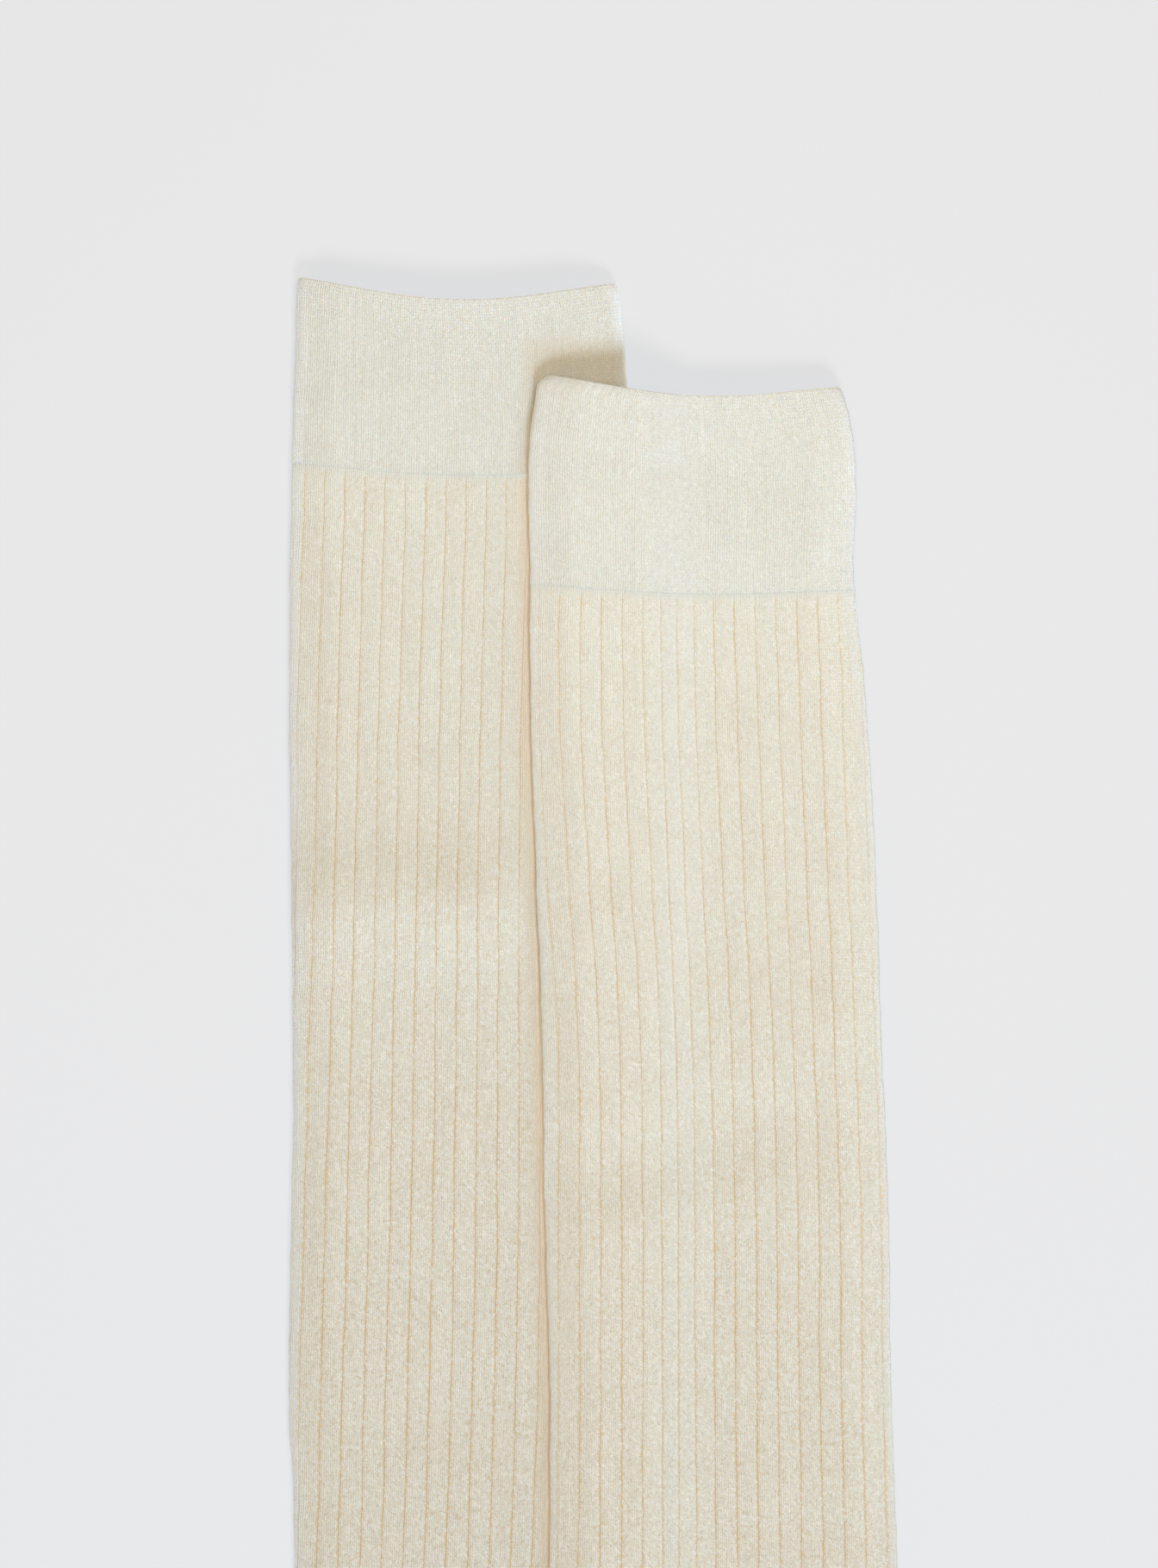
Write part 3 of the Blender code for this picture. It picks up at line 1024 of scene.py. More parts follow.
def outward_first(points: Array, faces: Array) -> bool:
    """Whether the faces already point out of the closed body that they bound, by its signed volume.

    Args:
        points: The body's vertices.
        faces: Its faces, of four corners each.

    Returns:
        True where the volume is positive.
    """
    a, b, c, d = (points[faces[:, k]] for k in range(4))
    volume = np.einsum("ij,ij->", a, np.cross(b, c)) + np.einsum("ij,ij->", a, np.cross(c, d))
    return volume > 0


def make_object(
    name: str, points: Array, faces: Array, uv: Array, shades: dict[str, Array]
) -> bpy.types.Object:
    """A mesh object from whole arrays.

    Args:
        name: The object's name.
        points: One row of coordinates for each vertex.
        faces: One row of vertex numbers for each face, all with as many corners.
        uv: Knit map places, one row for each face corner in order.
        shades: Masks by attribute name, each with one number for each vertex.

    Returns:
        The object, linked to the scene.
    """
    mesh = bpy.data.meshes.new(name)
    count, corners = faces.shape
    mesh.vertices.add(len(points))
    mesh.vertices.foreach_set("co", points.astype(np.float32).ravel())
    mesh.loops.add(count * corners)
    mesh.loops.foreach_set("vertex_index", faces.astype(np.int32).ravel())
    mesh.polygons.add(count)
    mesh.polygons.foreach_set("loop_start", np.arange(0, count * corners, corners, dtype=np.int32))
    mesh.update(calc_edges=True)
    layer = mesh.uv_layers.new(name=KNIT_MAP)
    layer.data.foreach_set("uv", uv.astype(np.float32).ravel())
    for mask, values in shades.items():
        attribute = mesh.attributes.new(mask, "FLOAT", "POINT")
        attribute.data.foreach_set("value", values.astype(np.float32))
    mesh.validate()
    mesh.shade_smooth()
    piece = bpy.data.objects.new(name, mesh)
    bpy.context.scene.collection.objects.link(piece)
    return piece


@dataclass(frozen=True)
class Patch:
    """A stretch of wall between two distances along the tube, all round it or between two ribs."""

    outer_tip = math.radians(89)
    inner_tip = math.radians(78)
    rim_steps = 3

    start: float
    end: float
    rows: int
    inner_rows: int
    ribs: Array
    is_round: bool = True
    rolled_edge: bool = False
    has_tip: bool = False

    def profile(self) -> tuple[Array, Array]:
        """The lengthwise section of the wall, as a loop or, with a tip, as a chain from pole to pole.

        A rolled edge has a small quarter circle at each skin and a flat face between them, at the start.

        Returns:
            Distances along the tube, and insets below the outer skin.
        """
        radius = CLOTH.rim_radius if self.rolled_edge else 0.0
        first = self.start + radius
        going, coming = np.linspace(0, 1, self.rows), np.linspace(1, 0, self.inner_rows)
        if self.has_tip:
            going, coming = np.sin(going * self.outer_tip), np.sin(coming * self.inner_tip)
        outer, inner = (first + (self.end - first) * way for way in (going, coming))
        insets = np.concatenate((np.zeros(self.rows), np.full(self.inner_rows, CLOTH.wall)))
        along = np.concatenate((outer, inner))
        if self.has_tip:
            along = np.concatenate((inner, outer))
            insets = insets[::-1]
        if self.rolled_edge:
            turn = np.linspace(0, math.pi / 2, self.rim_steps + 1)[1:]
            rim = self.start + radius * (1 - np.sin(turn))
            depth = radius * (1 - np.cos(turn))
            along = np.concatenate((along, rim, rim[::-1]))
            insets = np.concatenate((insets, CLOTH.wall - depth, depth[::-1]))
        return along, insets

    def build(self, form: SockForm) -> tuple[Array, Array, Array, dict[str, Array]]:
        """The patch as one closed body.

        Args:
            form: The sock's form.

        Returns:
            Points, faces, knit map places for each face corner, and masks for each point.
        """
        along, insets = self.profile()
        rows, columns = len(along), len(self.ribs)
        points = form.surface(along[:, None], self.ribs[None, :], insets[:, None]).reshape(-1, 3)
        corners = grid_faces(rows, columns, not self.has_tip, self.is_round)
        rib_places = np.append(self.ribs, self.ribs[0] + CLOTH.ribs_round)
        courses = (along - form.sizes.cuff_depth) / CLOTH.course
        row_places = np.append(courses, courses[0])
        uv = np.stack((rib_places[corners.columns], row_places[corners.rows]), axis=-1)
        faces = corners.vertices
        shades = form.shades(along[:, None], self.ribs[None, :])
        if not self.is_round:
            faces, uv = self._with_sides(faces, uv, rows, columns, courses)
        if self.has_tip:
            points, faces, uv = self._with_poles(points, faces, uv, rows, columns)
            shades = {mask: np.append(values, (0.0, 0.0)) for mask, values in shades.items()}
        if not outward_first(points, faces):
            faces, uv = faces[:, ::-1], uv[:, ::-1]
        return points, faces, uv, shades

    def _with_sides(
        self, faces: Array, uv: Array, rows: int, columns: int, courses: Array
    ) -> tuple[Array, Array]:
        """Adds the two cut sides, which join the outer rows to the inner rows.

        Args:
            faces: The faces so far.
            uv: Their knit map places.
            rows: Number of rows in the grid.
            columns: Number of columns in the grid.
            courses: Each row's place in courses.

        Returns:
            All faces and their knit map places.
        """
        row = np.arange(self.rows - 1)
        across = rows - 1 - row
        first = np.stack((row, across, across - 1, row + 1), axis=1) * columns
        last = first[:, ::-1] + columns - 1
        places = courses[np.stack((row, row, row + 1, row + 1), axis=1)]
        first_uv = np.stack((np.full(places.shape, self.ribs[0]), places), axis=-1)
        last_uv = np.stack((np.full(places.shape, self.ribs[-1]), places[:, ::-1]), axis=-1)
        return np.concatenate((faces, first, last)), np.concatenate((uv, first_uv, last_uv))

    @staticmethod
    def _with_poles(
        points: Array, faces: Array, uv: Array, rows: int, columns: int
    ) -> tuple[Array, Array, Array]:
        """Closes the first and last rows, each with a fan of faces round its middle point.

        Args:
            points: The points so far.
            faces: The faces so far.
            uv: Their knit map places.
            rows: Number of rows in the grid.
            columns: Number of columns in the grid.

        Returns:
            All points, faces and knit map places.
        """
        column = np.arange(columns)
        following = (column + 1) % columns
        for row, is_first in ((0, True), (rows - 1, False)):
            ring = points[row * columns : (row + 1) * columns]
            pole = len(points)
            points = np.vstack((points, ring.mean(0)))
            a, b = row * columns + column, row * columns + following
            fan = np.stack((a, b, np.full(columns, pole), np.full(columns, pole)), axis=1)
            fan = fan if is_first else fan[:, [1, 0, 2, 3]]
            faces = np.concatenate((faces, fan))
            fan_uv = np.tile(uv[-1, :1], (columns, 4, 1))
            uv = np.concatenate((uv, fan_uv))
        return points, faces, uv


def rib_columns(first: int, last: int, shares: Sequence[float], include_last: bool) -> Array:
    """Rib numbers of a grid's columns.

    Args:
        first: The first whole rib.
        last: The whole rib where the columns end.
        shares: Places of the columns within one rib.
        include_last: Whether the last whole rib has a column.

    Returns:
        The rib numbers, rising.
    """
    numbers = (np.arange(first, last)[:, None] + np.array(shares)[None, :]).ravel()
    return np.append(numbers, float(last)) if include_last else numbers


RIB_PLACES = (0.0, 0.05, 0.10, 0.17, 0.34, 0.50, 0.66, 0.83, 0.90, 0.95)
PLAIN_PLACES = (0.0, 0.25, 0.5, 0.75)


# Node groups that several finishes share


class Wiring:
    """Adds nodes to one node tree and wires them together."""

    mix_inputs = (0, 6, 7)

    def __init__(self, tree: bpy.types.NodeTree) -> None:
        """Keeps the tree."""
        self.tree = tree

    def node(self, kind: str, **settings: object) -> bpy.types.Node:
        """Adds a node and sets its properties.

        Args:
            kind: Blender's name for the kind of node.
            settings: The node's properties by name.

        Returns:
            The node.
        """
        made = self.tree.nodes.new(kind)
        for name, value in settings.items():
            setattr(made, name, value)
        return made

    def feed(self, socket: Socket, value: Feed) -> None:
        """Links an output to an input, or sets the input's own value.

        Args:
            socket: The input.
            value: An output, or a value. A colour is three numbers.
        """
        if isinstance(value, bpy.types.NodeSocket):
            self.tree.links.new(value, socket)
        elif socket.type == "RGBA":
            socket.default_value = (*value, 1.0)
        else:
            socket.default_value = value

    def feed_all(self, node: bpy.types.Node, values: dict[str, Feed]) -> None:
        """Feeds a node's inputs by their names."""
        for name, value in values.items():
            self.feed(node.inputs[name], value)

    def math(self, operation: str, first: Feed, second: Feed = 0.0, third: Feed = 0.0) -> Socket:
        """One arithmetic step.

        Args:
            operation: Blender's name for the step.
            first: The first number.
            second: The second number, if the step has one.
            third: The third number, if the step has one.

        Returns:
            The result.
        """
        made = self.node("ShaderNodeMath", operation=operation)
        for socket, value in zip(made.inputs, (first, second, third)):
            self.feed(socket, value)
        return made.outputs[0]

    def scaled(self, value: Feed, times: Feed, plus: Feed = 0.0) -> Socket:
        """A number multiplied by another, with a third added."""
        return self.math("MULTIPLY_ADD", value, times, plus)

    def product(self, first: Feed, *others: Feed) -> Socket:
        """Two or more numbers multiplied.

        Args:
            first: A number.
            others: The numbers that it is multiplied by.

        Returns:
            The product.
        """
        for other in others:
            first = self.math("MULTIPLY", first, other)
        return first

    def ease(self, value: Feed, low: Feed, high: Feed, start: float = 0.0, end: float = 1.0) -> Socket:
        """A smooth S from start to end as the value goes from low to high.

        Args:
            value: The number to ease.
            low: Where the S leaves its start.
            high: Where it reaches its end.
            start: The result at low.
            end: The result at high.

        Returns:
            The eased number.
        """
        made = self.node("ShaderNodeMapRange", interpolation_type="SMOOTHSTEP")
        for socket, given in zip(made.inputs, (value, low, high, start, end)):
            self.feed(socket, given)
        return made.outputs[0]

    def blend(self, factor: Feed, first: Feed, second: Feed, blend_type: str = "MIX") -> Socket:
        """Mixes two colours.

        Args:
            factor: The second colour's share.
            first: The first colour.
            second: The second colour.
            blend_type: Blender's name for the way of mixing.

        Returns:
            The mixed colour.
        """
        made = self.node("ShaderNodeMix", data_type="RGBA", blend_type=blend_type)
        for number, value in zip(self.mix_inputs, (factor, first, second)):
            self.feed(made.inputs[number], value)
        return made.outputs[2]

    def noise(self, vector: Feed, scale: float, detail: float, distortion: float = 0.0) -> Socket:
        """Soft noise.

        Args:
            vector: Where the noise is read.
            scale: Waves in a metre.
            detail: How many finer layers are added.
            distortion: How much the noise bends itself.

        Returns:
            A number between 0 and 1, about a half in the mean.
        """
        made = self.node("ShaderNodeTexNoise", noise_dimensions="3D")
        self.feed_all(made, {"Vector": vector, "Scale": scale, "Detail": detail, "Distortion": distortion})
        return made.outputs[0]

    def mask(self, name: str) -> Socket:
        """A mask stored on the mesh's points."""
        made = self.node("ShaderNodeAttribute", attribute_name=name, attribute_type="GEOMETRY")
        return made.outputs["Fac"]

    def split(self, vector: Feed) -> Sequence[Socket]:
        """Splits a vector.

        Args:
            vector: The vector.

        Returns:
            Its x, y and z.
        """
        made = self.node("ShaderNodeSeparateXYZ")
        self.feed(made.inputs[0], vector)
        return made.outputs

    def coordinates(self, kind: str) -> Socket:
        """A kind of texture coordinates."""
        return self.node("ShaderNodeTexCoord").outputs[kind]

    def group(self, group: bpy.types.NodeTree, **values: Feed) -> bpy.types.Node:
        """Places a node group and feeds its named inputs.

        Args:
            group: The group.
            values: What its inputs get, by name.

        Returns:
            The placed group.
        """
        made = self.node("ShaderNodeGroup", node_tree=group)
        self.feed_all(made, values)
        return made


def new_material(name: str) -> tuple[bpy.types.Material, Wiring, bpy.types.Node]:
    """A material with one surface shader wired to its output.

    Args:
        name: The material's name.

    Returns:
        The material, its wiring and the shader.
    """
    made = bpy.data.materials.new(name)
    made.use_nodes = True
    made.node_tree.nodes.clear()
    wiring = Wiring(made.node_tree)
    shader = wiring.node("ShaderNodeBsdfPrincipled")
    wiring.feed(wiring.node("ShaderNodeOutputMaterial").inputs["Surface"], shader.outputs[0])
    return made, wiring, shader


class SocketKind(Enum):
    """The kinds of socket that the groups have."""

    NUMBER = "NodeSocketFloat"
    VECTOR = "NodeSocketVector"


def new_group(
    name: str, inputs: dict[str, SocketKind], outputs: Sequence[str]
) -> tuple[bpy.types.NodeTree, Wiring, bpy.types.Node, bpy.types.Node]:
    """An empty node group with named sockets.

    Args:
        name: The group's name.
        inputs: Names and kinds of its inputs.
        outputs: Names of its outputs, which are all numbers.

    Returns:
        The group, its wiring, its input node and its output node.
    """
    tree = bpy.data.node_groups.new(name, "ShaderNodeTree")
    for socket, kind in inputs.items():
        tree.interface.new_socket(name=socket, in_out="INPUT", socket_type=kind.value)
    for socket in outputs:
        tree.interface.new_socket(name=socket, in_out="OUTPUT", socket_type=SocketKind.NUMBER.value)
    wiring = Wiring(tree)
    return tree, wiring, wiring.node("NodeGroupInput"), wiring.node("NodeGroupOutput")


@dataclass(frozen=True)
class StitchLook:
    """Stitches: how they sway, in wales and in courses, how much their legs slant, and their lowest end."""

    sway_scale: float = 900.0
    sway_in_wales: float = 0.35
    sway_in_courses: float = 0.8
    slant: float = 1.2
    lowest: float = 0.4


@dataclass(frozen=True)
class FleckLook:
    """Brushed cloth: the scales of its noises, the limits of its masks and their shares of the height."""

    lean: float = 0.7
    stretch: float = 1.9
    curl_scale: float = 1750.0
    pit_scale: float = 1450.0
    patch_scale: float = 90.0
    pale: Span = (0.46, 0.68)
    pits: Span = (0.52, 0.30)
    slow: Span = (0.30, 0.70)
    curl_height: float = 0.6
    pit_height: float = 0.4


@dataclass(frozen=True)
class YarnLook:
    """Furrow yarn: places across it are in ribs, places along it in courses, and strengths in shares."""

    swing: float = 0.024
    swing_rate: float = math.pi * 0.77
    fringe_scale: float = 1300.0
    fringe: float = 0.12
    edge: Span = (0.078, 0.046)
    slant: float = 6.0
    stitch_middle: float = 1.14
    stitch_fall: float = -0.95
    weakest_own: float = 0.75
    own_range: float = 0.26
    ribs_apart: float = 40.0
    fade_rates: Span = (0.045, 0.42)
    fade_lows: Span = (0.60, 0.62)
    fade_high: float = 1.12
    fade_limits: Span = (0.32, 0.62)
    grows: Span = (20.0, 320.0)
    growth: Span = (0.78, 1.48)
    uneven_start: float = 3.0
    start: Span = (-0.6, 0.8)


@dataclass
class KnitGroups:
    """The node groups for stitches, brushed flecks and the coloured yarn in the furrows."""

    stitches: bpy.types.NodeTree
    flecks: bpy.types.NodeTree
    furrow_yarn: bpy.types.NodeTree

    @classmethod
    def make(cls) -> "KnitGroups":
        """Builds the three groups."""
        return cls(cls._stitches(StitchLook()), cls._flecks(FleckLook()), cls._furrow_yarn(YarnLook()))

    @staticmethod
    def _stitches(look: StitchLook) -> bpy.types.NodeTree:
        """Knit stitches: in each wale two legs slant to its middle, one pair for each course.

        The height is a parabola across each leg times a parabola along it, where the place along the
        course is shifted by the distance from the wale's middle.

        Args:
            look: The stitches' numbers.

        Returns:
            The group, which puts out a height from 0 to 1.
        """
        kinds = {"Wale": SocketKind.NUMBER, "Course": SocketKind.NUMBER, "Position": SocketKind.VECTOR}
        tree, w, start, end = new_group("knit_stitches", kinds, ["Height"])
        cloud = w.noise(start.outputs["Position"], scale=look.sway_scale, detail=2.0)
        sway = w.math("SUBTRACT", cloud, 0.5)
        wale = w.scaled(sway, times=look.sway_in_wales, plus=start.outputs["Wale"])
        course = w.scaled(sway, times=look.sway_in_courses, plus=start.outputs["Course"])
        off = w.math("ABSOLUTE", w.math("SUBTRACT", w.math("FRACT", wale), 0.5))
        leg = w.scaled(off, times=4.0, plus=-1.0)
        across = w.math("SUBTRACT", 1.0, w.product(leg, leg))
        slanted = w.math("FRACT", w.scaled(off, times=look.slant, plus=course))
        phase = w.scaled(slanted, times=2.0, plus=-1.0)
        length = w.math("SUBTRACT", 1.0, w.product(phase, phase))
        shaped = w.scaled(length, times=1 - look.lowest, plus=look.lowest)
        w.feed(end.inputs["Height"], w.product(across, shaped))
        return tree

    @staticmethod
    def _flecks(look: FleckLook) -> bpy.types.NodeTree:
        """Brushed cloth: short pale curls and small warm pits, over slow patches of tone.

        Args:
            look: The flecks' numbers.

        Returns:
            The group, which puts out masks of the pale curls and of the pits, a slow tone, and a height.
        """
        tree, w, start, end = new_group(
            "brushed_flecks", {"Position": SocketKind.VECTOR}, ["Pale", "Pits", "Slow", "Height"]
        )
        place = start.outputs["Position"]
        leaning = []
        for lean in (look.lean, -look.lean):
            turned = w.node("ShaderNodeMapping", vector_type="TEXTURE")
            scale = (1.0, look.stretch, 1.0)
            w.feed_all(turned, {"Vector": place, "Rotation": (0.0, 0.0, lean), "Scale": scale})
            leaning.append(turned.outputs[0])
        curls = w.noise(leaning[0], scale=look.curl_scale, detail=2.0, distortion=1.0)
        pits = w.noise(leaning[1], scale=look.pit_scale, detail=2.0, distortion=0.8)
        patches = w.noise(place, scale=look.patch_scale, detail=3.0, distortion=0.4)
        height = w.scaled(curls, times=look.curl_height, plus=w.product(pits, look.pit_height))
        puts_out = {
            "Pale": w.ease(curls, *look.pale),
            "Pits": w.ease(pits, *look.pits),
            "Slow": w.ease(patches, *look.slow),
            "Height": height,
        }
        w.feed_all(end, puts_out)
        return tree

    @staticmethod
    def _furrow_yarn(look: YarnLook) -> bpy.types.NodeTree:
        """The coloured yarn: one column of small slanted stitches in each furrow.

        It shows within a narrow distance of each whole rib number, swings from side to side, thins
        between its stitches, fades in and out along the leg, and starts at its own height.

        Args:
            look: The yarn's numbers.

        Returns:
            The group, which puts out a mask, 0 off the yarn.
        """
        kinds = {"Rib": SocketKind.NUMBER, "Course": SocketKind.NUMBER, "Position": SocketKind.VECTOR}
        tree, w, start, end = new_group("furrow_yarn", kinds, ["Mask"])
        rib, course = start.outputs["Rib"], start.outputs["Course"]
        whole = w.math("ROUND", rib)
        seed = w.node("ShaderNodeTexWhiteNoise", noise_dimensions="1D")
        w.feed(seed.inputs["W"], w.math("WRAP", whole, float(CLOTH.ribs_round), 0.0))
        own = seed.outputs["Value"]
        cloud = w.noise(start.outputs["Position"], scale=look.fringe_scale, detail=2.0)
        swing = w.math("SINE", w.product(course, look.swing_rate))
        aside = w.scaled(swing, times=look.swing, plus=w.math("SUBTRACT", rib, whole))
        aside = w.scaled(w.math("SUBTRACT", cloud, 0.5), times=look.fringe, plus=aside)
        line = w.ease(w.math("ABSOLUTE", aside), *look.edge)
        slanted = w.math("FRACT", w.scaled(aside, times=look.slant, plus=course))
        phase = w.scaled(slanted, times=2.0, plus=-1.0)
        stitch = w.scaled(w.product(phase, phase), times=look.stitch_fall, plus=look.stitch_middle)
        strength = w.scaled(own, times=look.own_range, plus=look.weakest_own)
        for rate, low in zip(look.fade_rates, look.fade_lows):
            lengthwise = w.node("ShaderNodeCombineXYZ")
            w.feed(lengthwise.inputs[0], w.product(own, look.ribs_apart))
            w.feed(lengthwise.inputs[1], w.product(course, rate))
            cloud = w.noise(lengthwise.outputs[0], scale=1.0, detail=1.0)
            strength = w.product(strength, w.ease(cloud, *look.fade_limits, start=low, end=look.fade_high))
        grown = w.ease(course, *look.grows, *look.growth)
        begun = w.ease(w.math("SUBTRACT", course, w.product(own, look.uneven_start)), *look.start)
        w.feed(end.inputs["Mask"], w.product(line, stitch, strength, grown, begun))
        return tree


# Finishes


class KnitNodes(NamedTuple):
    """What a knit finish is mixed from in one material."""

    w: Wiring
    course: Socket
    stitches: Socket
    flecks: bpy.types.Node
    yarn: Socket


@dataclass(frozen=True)
class KnitFinish:
    """A brushed knitted finish: its colours, the shares that they are mixed in, and its depth."""

    name: str
    slot: str
    wales: float
    cream: Colour
    pale: Colour
    pit: Colour
    yarn: Colour
    stitch_depth: float = 0.0003
    slow_share: float = 0.16
    pit_share: float = 0.84
    rougher: tuple[float, ...] = (40.0, 330.0, 0.80, 1.50)
    # Pale fibres with a painted sheen at the folds, and their share.
    fuzz_sheen: Colour = (0.82, 0.83, 0.81)
    fuzz_sheen_share: float = 0.55
    # Colour of the painted shade beside and above the lap, and its share.
    nook_shade: Colour = (0.775, 0.61, 0.425)
    nook_shade_share: float = 0.85
    joins: Union[Colour, None] = None
    join_share: float = 0.85
    join_ragged: float = -2.2
    join_ends: float = 1.7
    join_tint: Colour = (1.014, 1.018, 1.022)
    join_tint_ends: float = 42.0
    # A painted glow that lightens the deepest shade beside the lap, and how it grows down the leg.
    painted_nook_glow: Colour = (1.0, 0.93, 0.78)
    painted_glow_from: float = 0.80
    painted_glow_grows: tuple[float, ...] = (0.0, 220.0, 0.078, 0.13)
    # Strength of the painted glow along the fold rims.
    painted_rim_strength: float = 0.19

    def material(self, groups: KnitGroups, sizes: SockSizes) -> bpy.types.Material:
        """Makes the material.

        Args:
            groups: The shared node groups.
            sizes: The sock, for its painted lightening, its painted rim glow and how strongly its yarn
                shows.

        Returns:
            The material, which reads the knit map, the masks on the mesh and object coordinates.
        """
        made, w, shader = new_material(self.name)
        nodes = self._place(w, groups, sizes.yarn_share)
        # Painted glow: the fold rims and the deepest shade beside the lap emit a little light.
        rim = w.mask(FOLD_RIM_GLOW)
        in_nook_shade = w.ease(w.mask(LAP_SHADE), low=self.painted_glow_from, high=1.0)
        glow = w.product(in_nook_shade, w.ease(nodes.course, *self.painted_glow_grows))
        bump = w.node("ShaderNodeBump")
        relief = w.scaled(nodes.flecks.outputs["Height"], times=0.9, plus=nodes.stitches)
        w.feed_all(bump, {"Strength": 0.8, "Distance": self.stitch_depth, "Height": relief})
        inputs = {
            "Base Color": self._shaded(nodes, self._cloth(nodes), sizes.painted_lightness),
            "Emission Color": w.blend(rim, self.painted_nook_glow, sizes.painted_rim_glow),
            "Emission Strength": w.scaled(rim, times=self.painted_rim_strength, plus=glow),
            "Roughness": w.ease(nodes.flecks.outputs["Pale"], low=0.0, high=1.0, start=1.0, end=0.86),
            "Subsurface Weight": 0.35,
            "Subsurface Radius": (1.0, 0.72, 0.45),
            "Subsurface Scale": 0.0014,
            "Sheen Weight": 0.7,
            "Sheen Roughness": 0.4,
            "Sheen Tint": (0.92, 0.96, 1.0),
            "Specular IOR Level": 0.15,
            "Normal": bump.outputs[0],
        }
        w.feed_all(shader, inputs)
        return made

    def _place(self, w: Wiring, groups: KnitGroups, yarn_share: float) -> KnitNodes:
        """Places the node groups, and feeds them from the knit map and from object coordinates.

        Args:
            w: The material's wiring.
            groups: The shared node groups.
            yarn_share: How strongly the yarn shows.

        Returns:
            What the finish is mixed from.
        """
        position = w.coordinates("Object")
        rib, course, _ = w.split(w.node("ShaderNodeUVMap", uv_map=KNIT_MAP).outputs[0])
        wale = w.scaled(rib, times=self.wales, plus=0.5)
        stitches = w.group(groups.stitches, Wale=wale, Course=course, Position=position)
        flecks = w.group(groups.flecks, Position=position)
        yarn = w.group(groups.furrow_yarn, Rib=rib, Course=course, Position=position)
        mask = w.product(w.mask(RIB_SHARE), yarn_share, yarn.outputs["Mask"])
        return KnitNodes(w, course, stitches.outputs["Height"], flecks, mask)

    def _cloth(self, nodes: KnitNodes) -> Socket:
        """The cloth's own colour: cream, pits between the stitches, the yarn, and pale curls on top.

        Args:
            nodes: What the finish is mixed from.

        Returns:
            The colour.
        """
        w, course, stitches, flecks, yarn = nodes
        rougher = w.ease(course, *self.rougher)
        pits = w.product(flecks.outputs["Pits"], w.scaled(stitches, times=-0.5, plus=1.0), rougher)
        warm = w.scaled(flecks.outputs["Slow"], times=self.slow_share, plus=w.product(pits, self.pit_share))
        colour = w.blend(warm, self.cream, self.pit)
        colour = w.blend(yarn, colour, self.yarn)
        curls = w.product(flecks.outputs["Pale"], rougher, w.scaled(yarn, times=-0.6, plus=1.0))
        return w.blend(curls, colour, self.pale)

    def _shaded(self, nodes: KnitNodes, colour: Socket, painted_lightness: float) -> Socket:
        """Adds pale fibres with painted sheen at the folds, painted shade by the lap, and the join of cuff
        and leg.

        Args:
            nodes: What the finish is mixed from.
            colour: The cloth's own colour.
            painted_lightness: What the sock's colours are multiplied by, a painted lightening.

        Returns:
            The shaded colour.
        """
        w = nodes.w
        colour = w.blend(w.product(w.mask(FOLD_FUZZ_SHEEN), self.fuzz_sheen_share), colour, self.fuzz_sheen)
        # Painted shade where the other sock shades this one.
        colour = w.blend(w.product(w.mask(LAP_SHADE), self.nook_shade_share), colour, self.nook_shade)
        # Painted lightening of the whole sock.
        colour = w.blend(1.0, colour, (painted_lightness,) * 3, "MULTIPLY")
        if self.joins is not None:
            ragged = w.scaled(nodes.flecks.outputs["Pale"], times=self.join_ragged, plus=nodes.course)
            near = w.ease(ragged, low=self.join_ends, high=0.0, end=self.join_share)
            colour = w.blend(near, colour, self.joins)
        near = w.ease(w.math("ABSOLUTE", nodes.course), low=self.join_tint_ends, high=0.0)
        return w.blend(near, colour, self.join_tint, "MULTIPLY")


@dataclass(frozen=True)
class NapFinish:
    """The loose fibres' finish: a pale yarn whose tone changes with the place."""

    name: str = "loose_fibres"
    slot: str = "rib_knit"
    pale: Colour = (0.84, 0.82, 0.76)
    deep: Colour = (0.74, 0.70, 0.60)

    def material(self) -> bpy.types.Material:
        """Makes the material.

        Returns:
            The material, which reads object coordinates.
        """
        made, w, shader = new_material(self.name)
        cloud = w.noise(w.coordinates("Object"), scale=700.0, detail=1.0)
        patches = w.ease(cloud, low=0.35, high=0.65)
        inputs = {
            "Base Color": w.blend(patches, self.deep, self.pale),
            "Roughness": w.ease(patches, low=0.0, high=1.0, start=0.95, end=0.8),
            "Sheen Weight": 0.2,
            "Specular IOR Level": 0.1,
        }
        w.feed_all(shader, inputs)
        return made


CUFF_FINISH = KnitFinish(
    name="cuff_fine_rib",
    slot="cuff_knit",
    wales=2 * CLOTH.fine_ribs_round / CLOTH.ribs_round,
    cream=(0.722, 0.695, 0.607),
    pale=(0.80, 0.775, 0.70),
    pit=(0.64, 0.58, 0.475),
    yarn=(0.722, 0.695, 0.607),
    # A darker painted shadow where the upper sock's cuff shades this cuff.
    nook_shade=(0.67, 0.56, 0.40),
)
RIB_FINISH = KnitFinish(
    name="leg_wide_rib",
    slot="rib_knit",
    wales=float(CLOTH.wales_a_rib),
    cream=(0.760, 0.717, 0.605),
    pale=(0.842, 0.805, 0.715),
    pit=(0.673, 0.578, 0.432),
    yarn=(0.74, 0.56, 0.33),
    joins=(0.745, 0.712, 0.620),
)
PLAIN_FINISH = replace(
    RIB_FINISH, name="plain_knitting", slot="plain_knit", yarn=RIB_FINISH.cream, joins=None
)


# The sock as its pieces


class Part(Enum):
    """The pieces of a sock, from the cuff to the toe."""

    CUFF = "cuff"
    LEG = "leg"
    HEEL = "heel"
    FOOT = "foot"
    TOE = "toe"


FINISH_OF = {
    Part.CUFF: CUFF_FINISH,
    Part.LEG: RIB_FINISH,
    Part.HEEL: PLAIN_FINISH,
    Part.FOOT: RIB_FINISH,
    Part.TOE: PLAIN_FINISH,
}


